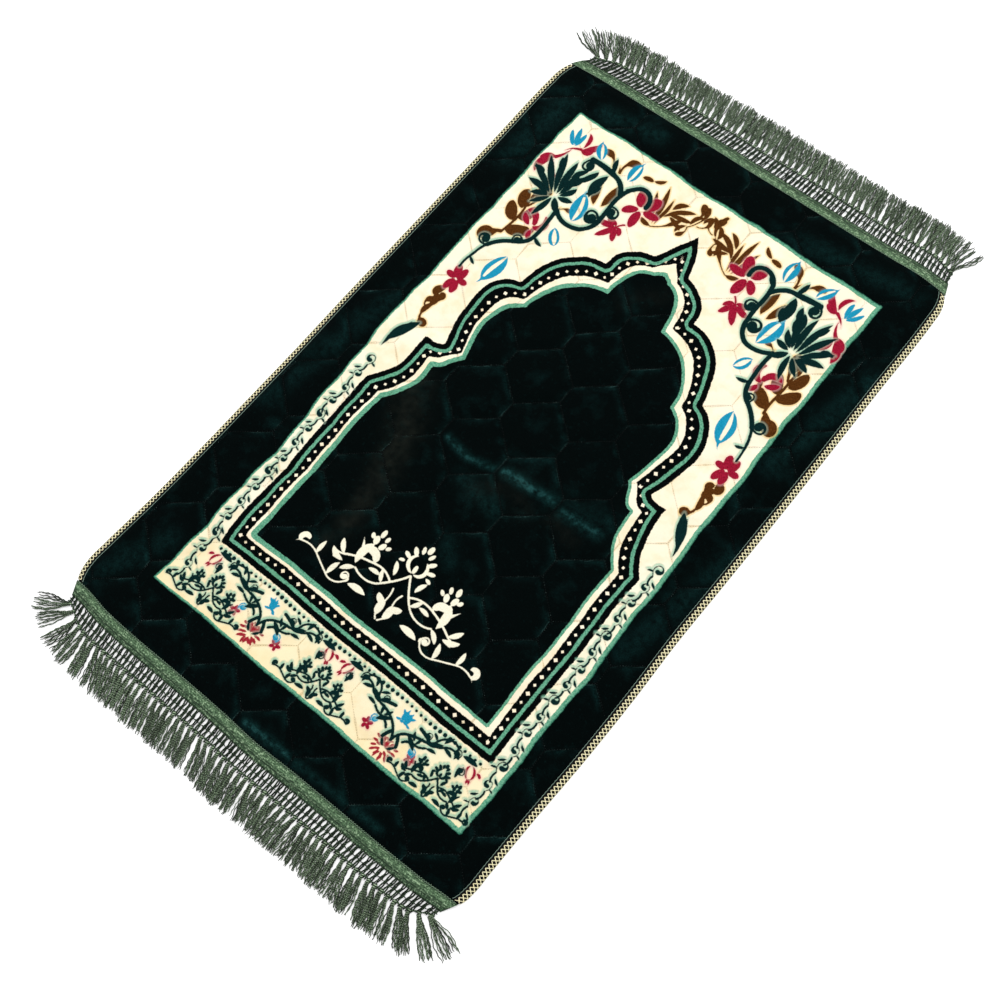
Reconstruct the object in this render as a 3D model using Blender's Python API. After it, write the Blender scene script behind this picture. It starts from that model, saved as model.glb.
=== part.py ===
"""A quilted plush prayer rug, lying flat, with a braid round each long edge and a fringed
trim on each short end.

The rug lies on the plane z = 0. +Y runs from the foot of the rug to the point of its arch,
+X runs to the right of someone standing on its foot. Tables are in millimetres and are
measured from the middle of the arch pattern; the finished meshes are moved so that the
middle of the whole rug, fringes included, is at the origin.
"""
import math

import bpy
import numpy as np

MM = 0.001

# Where the middle of the whole rug lies in the pattern's own coordinates, in millimetres.
MIDDLE_X = -6.0
MIDDLE_Y = -8.9

# Quilting: six-sided cells, two of their sides along Y.
CELL_PITCH_X = 98.0
CELL_PITCH_Y = 70.0
CELL_STRAIGHT_SIDE = 30.0
CELL_SEAM_X = 5.0
CELL_ROW_Y = 85.0
LINES_PER_CELL = 4
LINES_LEFT = 13
LINES_RIGHT = 12
CELLS_TO_FOOT = 9
CELLS_TO_ARCH = 6
LATTICE_FROM = -514.0
LATTICE_TO = 508.0
SEAM_WANDER = 2.2

# Height of the plush over the floor, in millimetres.
SEAM_HEIGHT = 8.6
CROWN_HEIGHT = 11.6
CROWN_REACH = 11.0
WALL_HEIGHT = 9.2
SWELL = 0.35

# Clearance between two pieces that touch.
GAP = 0.3

# Braid folded round each long edge. Its shoulder is where it turns from the side to the top.
BRAID_TOP_WIDTH = 11.5
BRAID_UNDER_WIDTH = 8.5
BRAID_THICK = 1.3
BRAID_HEIGHT = 9.0
BRAID_SIDE_HEIGHT = 5.4
BRAID_SHOULDER_IN = 2.2
BRAID_SHOULDER_HEIGHT = 7.6
BRAID_END = -1.5

# The slab's thin end under the tape, and the strip of plush that slopes to the tape.
FLANGE_WIDTH = 14.0
END_SLOPE_WIDTH = 10.0
END_HEIGHT = 8.8

# Fringed trim: distances outwards from the line where the plush stops.
TAPE_START = 0.8
TAPE_WIDTH = 21.0
TAPE_THICK = 1.6
TAPE_START_UNDER = 5.8
TAPE_END_UNDER = 3.1
NET_WIDTH = 18.5
KNOT_WIDTH = 6.5
TASSEL_LENGTH = 45.0
TASSELS = 63
LEG_HALF_WIDTH = 1.8
KNOT_HALF_WIDTH = 2.8
TASSEL_HALF_WIDTH = 4.8
TASSEL_HEIGHTS = (3.3, 3.2, 1.9)
TASSEL_FILL = 0.88
TASSEL_JITTER = 1.0
TASSEL_SPLAY_LENGTH = 0.14
TASSEL_BEND = 1.25
KNOT_HEIGHT = 3.1
NET_HEIGHT = 2.3
LENGTH_JITTER = 2.6
JITTER_SEED = 7

# The long edges, from the foot to the arch end: y, left edge x, right edge x.
LONG_EDGES = (
    (-592.0, -341.0, 318.0),
    (-575.0, -344.0, 321.5),
    (-560.0, -347.5, 324.5),
    (-550.0, -351.0, 327.5),
    (-541.0, -356.0, 334.0),
    (-530.0, -360.5, 340.0),
    (-515.0, -363.2, 342.8),
    (-480.0, -362.2, 343.4),
    (-400.0, -357.6, 344.4),
    (-300.0, -354.8, 347.2),
    (-200.0, -353.8, 347.2),
    (-100.0, -352.8, 344.6),
    (0.0, -353.4, 345.2),
    (150.0, -352.7, 345.4),
    (350.0, -351.6, 343.6),
    (485.0, -351.6, 342.5),
    (505.0, -350.6, 341.4),
    (520.0, -346.6, 337.4),
    (532.0, -340.4, 331.2),
    (545.0, -333.0, 326.4),
    (560.0, -324.5, 322.6),
    (577.0, -317.0, 320.4),
)

# Where the plush stops at each short end: x, y at the foot, y at the arch end.
PLUSH_ENDS = (
    (-365.0, -544.6, 526.6),
    (-330.0, -544.8, 527.4),
    (-290.0, -549.4, 529.4),
    (-250.0, -550.4, 529.8),
    (-150.0, -548.8, 530.4),
    (-60.0, -548.2, 531.2),
    (0.0, -549.4, 531.0),
    (60.0, -546.4, 531.4),
    (150.0, -543.8, 531.6),
    (240.0, -541.4, 532.2),
    (290.0, -538.8, 533.0),
    (315.0, -536.2, 530.6),
    (345.0, -534.4, 526.6),
)

# Which way the tassels fall, in degrees from straight out, towards +X: place along the
# trim (0 at the left edge, 1 at the right), at the foot, at the arch end.
TASSEL_FALL = (
    (0.000, -46.0, -76.0),
    (0.016, -30.0, -62.0),
    (0.032, -8.0, -46.0),
    (0.060, 8.0, -24.0),
    (0.110, 20.0, -22.0),
    (0.220, 12.0, -22.0),
    (0.340, 16.0, -12.0),
    (0.440, 20.0, -8.0),
    (0.540, 12.0, -10.0),
    (0.640, 4.0, -13.0),
    (0.780, 16.0, -14.0),
    (0.860, 14.0, -6.0),
    (0.940, 30.0, -8.0),
    (0.975, 42.0, -2.0),
    (1.000, 68.0, 6.0),
)


def clear_scene():
    """Remove what the scene holds, so that only the rug is left."""
    for old in list(bpy.data.objects):
        bpy.data.objects.remove(old, do_unlink=True)


def smooth_column(table, column, at):
    """Read one column of a table at any place: cubic pieces through the rows, whose slope at
    a row is the mean slope of the pieces beside it."""
    rows = np.array(table)
    place = rows[:, 0]
    value = rows[:, column]
    slope = np.gradient(value, place)
    at = np.clip(np.asarray(at, dtype=float), place[0], place[-1])
    left = np.clip(np.searchsorted(place, at, side="right") - 1, 0, len(place) - 2)
    span = place[left + 1] - place[left]
    t = (at - place[left]) / span
    start = value[left] * (2 * t ** 3 - 3 * t ** 2 + 1)
    end = value[left + 1] * (3 * t ** 2 - 2 * t ** 3)
    start_slope = slope[left] * span * (t ** 3 - 2 * t ** 2 + t)
    end_slope = slope[left + 1] * span * (t ** 3 - t ** 2)
    return start + end + start_slope + end_slope


def left_edge(y):
    """Outer line of the left long edge."""
    return smooth_column(LONG_EDGES, 1, y)


def right_edge(y):
    """Outer line of the right long edge."""
    return smooth_column(LONG_EDGES, 2, y)


def plush_end(x, side):
    """Line where the plush stops: side is -1 at the foot and 1 at the arch end."""
    return smooth_column(PLUSH_ENDS, 1 if side < 0 else 2, x)


def wander(x, y):
    """Small sideways drift of the sewn lines, in millimetres."""
    drift_x = SEAM_WANDER * np.sin(y / 61.0 + x / 173.0)
    drift_y = SEAM_WANDER * np.sin(x / 77.0 - y / 149.0 + 0.8)
    return drift_x, drift_y


def seam_distance(x, y):
    """Distance to the nearest sewn line of the honeycomb, before the lines wander."""
    half_x = CELL_PITCH_X / 2
    half_straight = CELL_STRAIGHT_SIDE / 2
    rise = CELL_PITCH_Y - CELL_STRAIGHT_SIDE
    slant = math.hypot(half_x, rise)
    nearest = np.full(np.shape(x), -1e9)
    for row in (0, 1):
        centre_x = CELL_SEAM_X + half_x * (1 - row)
        centre_y = CELL_ROW_Y - row * CELL_PITCH_Y
        off_x = (x - centre_x + half_x) % CELL_PITCH_X - half_x
        off_y = (y - centre_y + CELL_PITCH_Y) % (2 * CELL_PITCH_Y) - CELL_PITCH_Y
        to_side = half_x - np.abs(off_x)
        to_slant = (rise * half_x + half_x * half_straight
                    - rise * np.abs(off_x) - half_x * np.abs(off_y)) / slant
        nearest = np.maximum(nearest, np.minimum(to_side, to_slant))
    return np.maximum(nearest, 0.0)


def plush_height(x, y, distance):
    """Pillowed height of the plush at a distance from a sewn line."""
    pillow = 1 - np.exp(-((distance / CROWN_REACH) ** 2))
    swell = SWELL * (np.sin(x / 83.0 + 1.1) * np.cos(y / 97.0) + np.sin(y / 53.0 - x / 131.0))
    return SEAM_HEIGHT + (CROWN_HEIGHT - SEAM_HEIGHT) * pillow + swell * pillow


def braid_outside():
    """Outer line of the braid's section: (distance in from the outer edge, height)."""
    return (
        (BRAID_THICK / 2, 0.0),
        (0.0, BRAID_SIDE_HEIGHT),
        (BRAID_SHOULDER_IN, BRAID_SHOULDER_HEIGHT),
        (BRAID_TOP_WIDTH, BRAID_HEIGHT),
    )


def braid_inside():
    """Inner line of the braid's section, from the top fold down to the lower one."""
    return (
        (BRAID_TOP_WIDTH, BRAID_HEIGHT - BRAID_THICK),
        (BRAID_SHOULDER_IN + BRAID_THICK / 2, BRAID_SHOULDER_HEIGHT - BRAID_THICK),
        (BRAID_THICK, BRAID_SIDE_HEIGHT - BRAID_THICK / 2),
        (BRAID_THICK, BRAID_THICK),
        (BRAID_UNDER_WIDTH, BRAID_THICK),
        (BRAID_UNDER_WIDTH, 0.0),
    )


def tape_under(out):
    """Underside of the tape where it lies on the rug, by distance outwards."""
    return TAPE_START_UNDER + (TAPE_END_UNDER - TAPE_START_UNDER) * out / FLANGE_WIDTH


def edge_steps():
    """Rows of the slab's rim along a long edge: (distance in, greatest height). They keep
    just under the braid, then rise past its inner edge."""
    top_fold, shoulder, side = braid_inside()[:3]
    inner_edge = top_fold[0] + GAP
    return (
        (side[0] + GAP, side[1] - GAP / 2),
        (shoulder[0] + GAP / 2, shoulder[1] - GAP),
        (inner_edge, top_fold[1] - GAP),
        (inner_edge + GAP / 2, WALL_HEIGHT),
        (inner_edge + END_SLOPE_WIDTH, math.inf),
    )


def lattice_y():
    """Rows that run through the corners of the quilted cells and half way up their slants."""
    rise = CELL_PITCH_Y - CELL_STRAIGHT_SIDE
    steps = (0.0, CELL_STRAIGHT_SIDE, CELL_STRAIGHT_SIDE + rise / 2)
    first = CELL_ROW_Y - CELL_STRAIGHT_SIDE / 2
    cells = range(-CELLS_TO_FOOT, CELLS_TO_ARCH + 1)
    rows = [first + CELL_PITCH_Y * k + step for k in cells for step in steps]
    return [y for y in rows if LATTICE_FROM < y < LATTICE_TO]


def slab_rows():
    """Rows of the slab from the foot to the arch end: (fixed y or None, side, distance out)."""
    wall = TAPE_START - GAP
    outs = (FLANGE_WIDTH, wall, wall - GAP / 2, BRAID_END, -END_SLOPE_WIDTH)
    rows = [(None, -1, out) for out in outs]
    rows += [(y, 0, -math.inf) for y in lattice_y()]
    rows += [(None, 1, out) for out in reversed(outs)]
    return rows


def row_y(row, x):
    """The y of a row at a place across the rug."""
    fixed, side, out = row
    if side == 0:
        return np.full(np.shape(x), fixed)
    return plush_end(x, side) + side * out


def edge_x(row, right):
    """Outer edge of a row, by substitution, since a row's own y follows x."""
    edge = right_edge if right else left_edge
    x = edge(np.zeros(1))
    for _ in range(4):
        x = edge(row_y(row, x))
    return float(x[0])


def slab_points():
    """Grid of points of the slab's upper face, as arrays of rows by columns."""
    steps = edge_steps()
    step_x = CELL_PITCH_X / LINES_PER_CELL
    lattice_x = CELL_SEAM_X + step_x * np.arange(-LINES_LEFT, LINES_RIGHT + 1)
    rim = np.array([step[0] for step in steps])
    cap = np.array([step[1] for step in steps])
    clear = rim[-1] + CROWN_REACH / 2
    xs, ys, zs = [], [], []
    for row in slab_rows():
        out = row[2]
        left = edge_x(row, False)
        right = edge_x(row, True)
        # Where a corner pulls the edge in, the outer lines are pushed together in front of it.
        squeeze = (lattice_x - lattice_x[0]) / LINES_PER_CELL
        middle = np.maximum(lattice_x, left + clear + squeeze)
        middle = np.minimum(middle, right - clear - squeeze[::-1])
        x = np.concatenate((left + rim, middle, right - rim[::-1]))
        limit = np.concatenate((cap, np.full(len(middle), math.inf), cap[::-1]))
        inside = np.isinf(limit)
        y = row_y(row, x)
        drift_x, drift_y = wander(x, y)
        if row[1] == 0:
            z = plush_height(x, y, seam_distance(x, y))
            x = x + drift_x * inside
            y = y + drift_y * inside
        else:
            z = plush_height(x, y, seam_distance(x - drift_x, y - drift_y))
        if out >= TAPE_START - GAP:
            limit = np.minimum(limit, tape_under(out) - GAP)
        elif out >= BRAID_END:
            limit = np.minimum(limit, END_HEIGHT)
        xs.append(x)
        ys.append(y)
        zs.append(np.minimum(z, limit))
    return np.array(xs), np.array(ys), np.array(zs)


def make_material(name, colour, roughness, sheen):
    """Plain dyed cloth with its own colour."""
    material = bpy.data.materials.new(name)
    material.use_nodes = True
    shader = material.node_tree.nodes["Principled BSDF"]
    shader.inputs["Base Color"].default_value = (*colour, 1.0)
    shader.inputs["Roughness"].default_value = roughness
    shader.inputs["Metallic"].default_value = 0.0
    shader.inputs["Sheen Weight"].default_value = sheen
    material.diffuse_color = (*colour, 1.0)
    return material


def make_object(name, points, faces, material):
    """One named object from points in pattern millimetres and faces that look outwards."""
    move = np.array([MIDDLE_X, MIDDLE_Y, 0.0])
    mesh = bpy.data.meshes.new(name)
    mesh.from_pydata(((np.array(points) - move) * MM).tolist(), [], faces)
    mesh.validate()
    mesh.materials.append(material)
    mesh.shade_smooth()
    mesh.set_sharp_from_angle(angle=math.radians(35.0))
    piece = bpy.data.objects.new(name, mesh)
    bpy.context.scene.collection.objects.link(piece)
    return piece


def underside_points(x, y):
    """Points of the underside by row, three in from each long edge: at the rim, at the inner
    end of the braid's lower fold, and where the underside comes down to the floor."""
    raised = BRAID_THICK + GAP
    steps_in = (raised, BRAID_UNDER_WIDTH + GAP, BRAID_UNDER_WIDTH + raised)
    strips = []
    for r, row in enumerate(slab_rows()):
        edge_heights = (raised, raised, 0.0) if row[2] <= BRAID_END else (0.0, 0.0, 0.0)
        left, right = [], []
        for step_in, height in zip(steps_in, edge_heights):
            for strip, px in ((left, x[r, 0] - raised + step_in),
                              (right, x[r, -1] + raised - step_in)):
                py = float(row_y(row, np.array([px]))[0])
                strip.append((px, py, height))
        left[0] = (x[r, 0], y[r, 0], edge_heights[0])
        right[0] = (x[r, -1], y[r, -1], edge_heights[0])
        strips.append(left + right[::-1])
    return strips


def close_end(points, x, y, r, low, inner):
    """Close one short end. points is added to; r is the end row, low its six underside
    points and inner those of the next row. Faces look out at the foot end."""
    columns = x.shape[1]
    top = [r * columns + c for c in range(columns)]
    span = [c for c in range(columns)
            if points[low[2]][0] + GAP < x[r, c] < points[low[3]][0] - GAP]
    base = list(range(len(points), len(points) + len(span)))
    points.extend((x[r, c], y[r, c], 0.0) for c in span)
    walls = [tuple(low[:3] + base[:1] + top[:span[0] + 1][::-1]),
             tuple(base[-1:] + low[3:] + top[span[-1]:][::-1])]
    for k in range(len(span) - 1):
        walls.append((base[k], base[k + 1], top[span[k + 1]], top[span[k]]))
    plate = (inner[2], inner[3], low[3], *base[::-1], low[2])
    return walls + [plate]


def make_slab(material):
    """The quilted slab: pillowed upper face, upright rim, and a flat underside that is let in
    along the long edges for the lower fold of the braid."""
    x, y, z = slab_points()
    rows, columns = x.shape
    points = [tuple(p) for p in np.stack((x, y, z), axis=-1).reshape(-1, 3)]
    under = []
    for strip in underside_points(x, y):
        under.append(list(range(len(points), len(points) + len(strip))))
        points.extend(strip)

    faces = []
    for r in range(rows - 1):
        for c in range(columns - 1):
            a = r * columns + c
            faces.append((a, a + 1, a + 1 + columns, a + columns))
        low, high = under[r], under[r + 1]
        at_end = r in (0, rows - 2)
        for c in range(len(low) - 1):
            if c != 2 or not at_end:
                faces.append((low[c], high[c], high[c + 1], low[c + 1]))
        first, last = r * columns, (r + 1) * columns - 1
        faces.append((low[0], first, first + columns, high[0]))
        faces.append((high[-1], last + columns, last, low[-1]))
    faces += close_end(points, x, y, 0, under[0], under[1])
    arch_end = close_end(points, x, y, rows - 1, under[-1], under[-2])
    faces += [face[::-1] for face in arch_end]
    return make_object("rug_body", points, faces, material)


def make_braid(name, right, material):
    """The braid along one long edge: its section carried along the edge, row by row."""
    profile = braid_outside() + braid_inside()
    count = len(profile)
    kinds = [row for row in slab_rows() if row[2] <= BRAID_END]
    points = []
    for row in kinds:
        edge = edge_x(row, right)
        for inner, height in profile:
            px = edge - inner if right else edge + inner
            points.append((px, float(row_y(row, np.array([px]))[0]), height))
    faces = []
    for r in range(len(kinds) - 1):
        for c in range(count):
            d = (c + 1) % count
            a, b = r * count + c, r * count + d
            quad = (a, b, b + count, a + count)
            faces.append(quad[::-1] if right else quad)
    start = tuple(range(count))
    end = tuple(range((len(kinds) - 1) * count, len(kinds) * count))
    faces.append(start if right else start[::-1])
    faces.append(end[::-1] if right else end)
    return make_object(name, points, faces, material)


def tassel_lines(side, roots_x, roots_y):
    """Middle line of each tassel from the knots to its tip: arrays of tassel by step."""
    chance = np.random.default_rng(JITTER_SEED + (side > 0))
    place = np.linspace(0.0, 1.0, TASSELS)
    fall = np.radians(smooth_column(TASSEL_FALL, 1 if side < 0 else 2, place))
    length = TASSEL_LENGTH + chance.uniform(-LENGTH_JITTER, LENGTH_JITTER, TASSELS)
    length = length * (1 + TASSEL_SPLAY_LENGTH * np.sin(fall) ** 2)
    reach_x = length * np.sin(fall) + chance.uniform(-TASSEL_JITTER, TASSEL_JITTER, TASSELS)
    reach_y = length * np.cos(fall)
    along = np.linspace(0.0, 1.0, len(TASSEL_HEIGHTS) + 1)
    x = roots_x[:, None] + reach_x[:, None] * along ** TASSEL_BEND
    y = roots_y[:, None] + side * reach_y[:, None] * along
    return x, y


def strand_middles(side, out):
    """Middle of every strand of a trim at a distance out from the plush: x and y."""
    place = (np.arange(TASSELS) + 0.5) / TASSELS
    x = np.zeros(TASSELS)
    for _ in range(4):
        y = plush_end(x, side) + side * out
        left = left_edge(y) + GAP
        right = right_edge(y) - GAP
        x = left + (right - left) * place
    return x, plush_end(x, side) + side * out


def woven_rows(side):
    """Upper and lower rows of the tape, net and knots: two points a strand."""
    net_end = TAPE_WIDTH + NET_WIDTH
    knot_end = net_end + KNOT_WIDTH
    step_down = FLANGE_WIDTH + GAP
    # Distance out, half width of a strand there, upper height, lower height.
    rows = (
        (TAPE_START, LEG_HALF_WIDTH, tape_under(TAPE_START) + TAPE_THICK,
         tape_under(TAPE_START)),
        (step_down, LEG_HALF_WIDTH, tape_under(step_down) + TAPE_THICK,
         tape_under(step_down)),
        (TAPE_WIDTH, LEG_HALF_WIDTH, NET_HEIGHT, 0.0),
        (net_end, LEG_HALF_WIDTH, NET_HEIGHT, 0.0),
        (knot_end, KNOT_HALF_WIDTH, KNOT_HEIGHT, 0.0),
    )
    upper, lower = [], []
    for out, half, z_upper, z_lower in rows:
        x, y = strand_middles(side, out)
        px = np.stack((x - half, x + half), axis=-1).reshape(-1)
        if out <= TAPE_WIDTH:
            px[0] = left_edge(y[0]) + GAP
            px[-1] = right_edge(y[-1]) - GAP
        py = plush_end(px, side) + side * out
        upper.append(np.stack((px, py, np.full(len(px), z_upper)), axis=-1))
        lower.append(np.stack((px, py, np.full(len(px), z_lower)), axis=-1))
    return upper, lower


def tassel_rows(side):
    """Upper and lower rows of the tassels, from below the knots to the tips. Each tassel is
    as wide as its neighbours leave room for, square to its own line."""
    roots_x, roots_y = strand_middles(side, TAPE_WIDTH + NET_WIDTH + KNOT_WIDTH)
    x, y = tassel_lines(side, roots_x, roots_y)
    upper, lower = [], []
    for step, height in enumerate(TASSEL_HEIGHTS, start=1):
        run_x = x[:, step] - x[:, step - 1]
        run_y = y[:, step] - y[:, step - 1]
        run = np.hypot(run_x, run_y)
        across_x, across_y = side * run_y / run, -side * run_x / run
        gap_x, gap_y = np.diff(x[:, step]), np.diff(y[:, step])
        spacing = np.minimum(gap_x * across_x[1:] + gap_y * across_y[1:],
                             gap_x * across_x[:-1] + gap_y * across_y[:-1])
        room = np.minimum(np.append(spacing, math.inf), np.append(math.inf, spacing))
        half = np.minimum(TASSEL_HALF_WIDTH, room * TASSEL_FILL / 2)
        px = np.stack((x[:, step] - half * across_x, x[:, step] + half * across_x), axis=-1)
        py = np.stack((y[:, step] - half * across_y, y[:, step] + half * across_y), axis=-1)
        flat = np.zeros(2 * TASSELS)
        upper.append(np.stack((px.reshape(-1), py.reshape(-1), flat + height), axis=-1))
        lower.append(np.stack((px.reshape(-1), py.reshape(-1), flat), axis=-1))
    return upper, lower


def make_fringe(name, side, material):
    """One fringed trim: a tape that steps down off the rug's end, a net of legs, a row of
    knots and the tassels, all one solid. side is -1 at the foot and 1 at the arch end."""
    woven_upper, woven_lower = woven_rows(side)
    tassel_upper, tassel_lower = tassel_rows(side)
    upper = np.concatenate(woven_upper + tassel_upper)
    lower = np.concatenate(woven_lower + tassel_lower)
    rows = len(woven_upper) + len(tassel_upper)
    columns = 2 * TASSELS
    under = len(upper)
    tape_and_knots = (0, 1, 3)

    def cloth(r, c):
        """Whether there is cloth between rows r, r + 1 and columns c, c + 1."""
        inside = 0 <= r < rows - 1 and 0 <= c < columns - 1
        return inside and (c % 2 == 0 or r in tape_and_knots)

    faces = []
    for r in range(rows - 1):
        for c in range(columns - 1):
            if not cloth(r, c):
                continue
            a = r * columns + c
            b, d, e = a + 1, a + columns, a + columns + 1
            cell = [(a, b, e, d), (under + a, under + d, under + e, under + b)]
            if not cloth(r - 1, c):
                cell.append((a, under + a, under + b, b))
            if not cloth(r + 1, c):
                cell.append((d, e, under + e, under + d))
            if not cloth(r, c - 1):
                cell.append((a, d, under + d, under + a))
            if not cloth(r, c + 1):
                cell.append((b, under + b, under + e, e))
            faces.extend(face if side > 0 else face[::-1] for face in cell)
    return make_object(name, np.concatenate((upper, lower)), faces, material)


clear_scene()
plush = make_material("plush", (0.012, 0.045, 0.045), 0.85, 0.5)
braid = make_material("braid", (0.66, 0.55, 0.30), 0.6, 0.2)
trim = make_material("trim", (0.10, 0.19, 0.09), 0.7, 0.2)
make_slab(plush)
make_braid("binding_left", False, braid)
make_braid("binding_right", True, braid)
make_fringe("fringe_near", -1, trim)
make_fringe("fringe_far", 1, trim)
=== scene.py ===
"""A quilted plush prayer rug lying flat, dressed over its CAD solids: dyed and carved plush
with honeycomb quilting, a woven braid round each long edge and a netted, tasselled trim on
each short end.

Lengths in the tables are millimetres from the middle of the arch pattern; +Y runs from the
foot of the rug to the point of its arch and z = 0 is the floor. Each finished mesh is moved
so that the middle of the whole rug is at the origin, as in the CAD.
"""

from functools import partialmethod
import math

import bpy
import numpy as np
from mathutils import Matrix


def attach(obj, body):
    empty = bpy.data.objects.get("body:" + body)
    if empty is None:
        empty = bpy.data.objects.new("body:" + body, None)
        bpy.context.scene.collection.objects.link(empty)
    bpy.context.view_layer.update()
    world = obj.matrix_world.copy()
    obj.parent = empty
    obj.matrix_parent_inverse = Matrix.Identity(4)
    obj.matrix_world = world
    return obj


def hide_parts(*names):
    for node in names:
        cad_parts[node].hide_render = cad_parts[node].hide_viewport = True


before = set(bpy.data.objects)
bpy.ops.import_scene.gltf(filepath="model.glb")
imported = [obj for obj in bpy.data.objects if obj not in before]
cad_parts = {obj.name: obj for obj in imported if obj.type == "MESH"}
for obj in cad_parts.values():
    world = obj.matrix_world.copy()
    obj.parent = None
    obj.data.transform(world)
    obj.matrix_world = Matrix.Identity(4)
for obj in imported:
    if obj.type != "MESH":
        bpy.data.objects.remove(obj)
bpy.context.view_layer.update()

# ---------------------------------------------------------------------------------------
# The rug itself: one slab of dyed, cut-pile plush quilted to a thin wadding in six-sided
# cells. Its edges are uneven, so they are read from tables. An ivory frame with a mint
# outline surrounds an arch made of black, mint, black and ivory bands.

MM, TURN = 0.001, 2 * math.pi
# The middle of the whole rug, as seen from the middle of the pattern.
MIDDLE_X, MIDDLE_Y = -6.0, -8.9
# The plush's width between the braided edges, and its length between the tapes.
PLUSH_WIDE, PLUSH_LONG = 700, 1072

# Long edges from the foot to the arch end: y, left edge x, right edge x.
LONG_EDGES = (
    (-592, -341, 318), (-575, -344, 321.5), (-560, -347.5, 324.5),
    (-550, -351, 327.5), (-541, -356, 334), (-530, -360.5, 340),
    (-515, -363.2, 342.8), (-480, -362.2, 343.4), (-400, -357.6, 344.4),
    (-300, -354.8, 347.2), (-200, -353.8, 347.2), (-100, -352.8, 344.6),
    (0, -353.4, 345.2), (150, -352.7, 345.4), (350, -351.6, 343.6),
    (485, -351.6, 342.5), (505, -350.6, 341.4), (520, -346.6, 337.4),
    (532, -340.4, 331.2), (545, -333, 326.4), (560, -324.5, 322.6),
    (577, -317, 320.4),
)
# Where the plush stops at each short end: x, y at the foot, y at the arch end.
PLUSH_ENDS = (
    (-365, -544.6, 526.6), (-330, -544.8, 527.4), (-290, -549.4, 529.4),
    (-250, -550.4, 529.8), (-150, -548.8, 530.4), (-60, -548.2, 531.2),
    (0, -549.4, 531), (60, -546.4, 531.4), (150, -543.8, 531.6),
    (240, -541.4, 532.2), (290, -538.8, 533), (315, -536.2, 530.6),
    (345, -534.4, 526.6),
)

# Six-sided quilting cells with two sides along Y.
CELL_X, CELL_Y, CELL_SIDE = 98.0, 70.0, 30.0
SEAM_X, ROW_Y = 5.0, 85.0
WANDER = 2.2
SEAM_HEIGHT, CROWN_HEIGHT, CROWN_REACH, SWELL = 8.6, 11.6, 11.0, 0.35

# Low ridges and hollows: from x, y, to x, y, half width, height.
FOLDS = (
    (-80, -66, 0, -59, 7, 0.8), (11, -58, 95, -51, 8, 0.9), (108, -57, 159, -52, 7, 0.7),
    (-178, -34, -128, -150, 16, -0.6),
    (-150, -60, -104, -210, 10, 0.6), (-128, -150, -112, -290, 14, -0.5),
    (-30, 270, 40, 238, 6, 0.5), (180, 300, 240, 330, 9, 0.5),
    (-310, -60, -300, 60, 12, 0.5), (300, -250, 322, -90, 12, 0.5),
    (-120, -505, 30, -520, 10, 0.5), (60, 500, 220, 488, 10, 0.6), (-250, 498, -90, 508, 9, 0.5),
)

# The slab's rim under the braid: distance in from the long edge, and height.
RIM = ((1.6, 4.6), (3.0, 6.0), (11.8, 7.4), (11.95, 9.2))
# The pile sinks to the height of the rim beside the braid, and to its own at the short ends.
SIDE_SLOPE, END_SLOPE, END_HEIGHT = 9.0, 10.0, 8.8
# Distances out from the plush's end: the thin flange under the tape, the pile's wall, and
# the braid's end, which is a little inside it.
FLANGE, WALL_OUT, BRAID_END = 14.0, 0.5, -1.5
# The underside is let in for the braid's lower fold: how high, how far in, and its slope.
RAISED, UNDER_FOLD, STEP_IN = 1.6, 8.8, 1.3
GRID_STEP, UNDER_TAPE = 3.0, 0.3
# A first guess at the x of both long edges.
FIRST_X = (-350, 345)
# Places that depend on each other are found by this many rounds of substitution.
ROUNDS = 5


def read_table(table, column, at):
    """One column of a table read anywhere: cubic pieces through the rows, whose slope at a
    row is the mean of its neighbours' slopes."""
    rows = np.array(table, dtype=float)
    place, value = rows[:, 0], rows[:, column]
    slope = np.gradient(value, place)
    at = np.clip(np.asarray(at, dtype=float), place[0], place[-1])
    left = np.clip(np.searchsorted(place, at, side="right") - 1, 0, len(place) - 2)
    span = place[left + 1] - place[left]
    t = (at - place[left]) / span
    ends = value[left] * (2 * t**3 - 3 * t**2 + 1) + value[left + 1] * (3 * t**2 - 2 * t**3)
    return ends + span * (slope[left] * (t**3 - 2 * t**2 + t) + slope[left + 1] * (t**3 - t**2))


def rug_edge(y, right):
    """x of a long edge at y."""
    return read_table(LONG_EDGES, 2 if right else 1, y)


def plush_end(x, side):
    """y at which the plush stops: side is -1 at the foot and 1 at the arch end."""
    return read_table(PLUSH_ENDS, 1 if side < 0 else 2, x)


def from_edges(x, y):
    """Distances inwards from the nearer long edge and from the nearer end of the plush."""
    return (np.minimum(x - rug_edge(y, False), rug_edge(y, True) - x),
            np.minimum(y - plush_end(x, -1), plush_end(x, 1) - y))


def bell(t):
    """exp(-t squared): 1 at 0, fading both ways."""
    return np.exp(-(t**2))


def ease(t):
    """0 to 1 with level ends, for t from 0 to 1."""
    t = np.clip(t, 0, 1)
    return t * t * (3 - 2 * t)


def wander(x, y):
    """How far a seam strays from the even cells at a place, across and along: slow sines."""
    return WANDER * np.sin(y / 61 + x / 173), WANDER * np.sin(x / 77 - y / 149 + 0.8)


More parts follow.
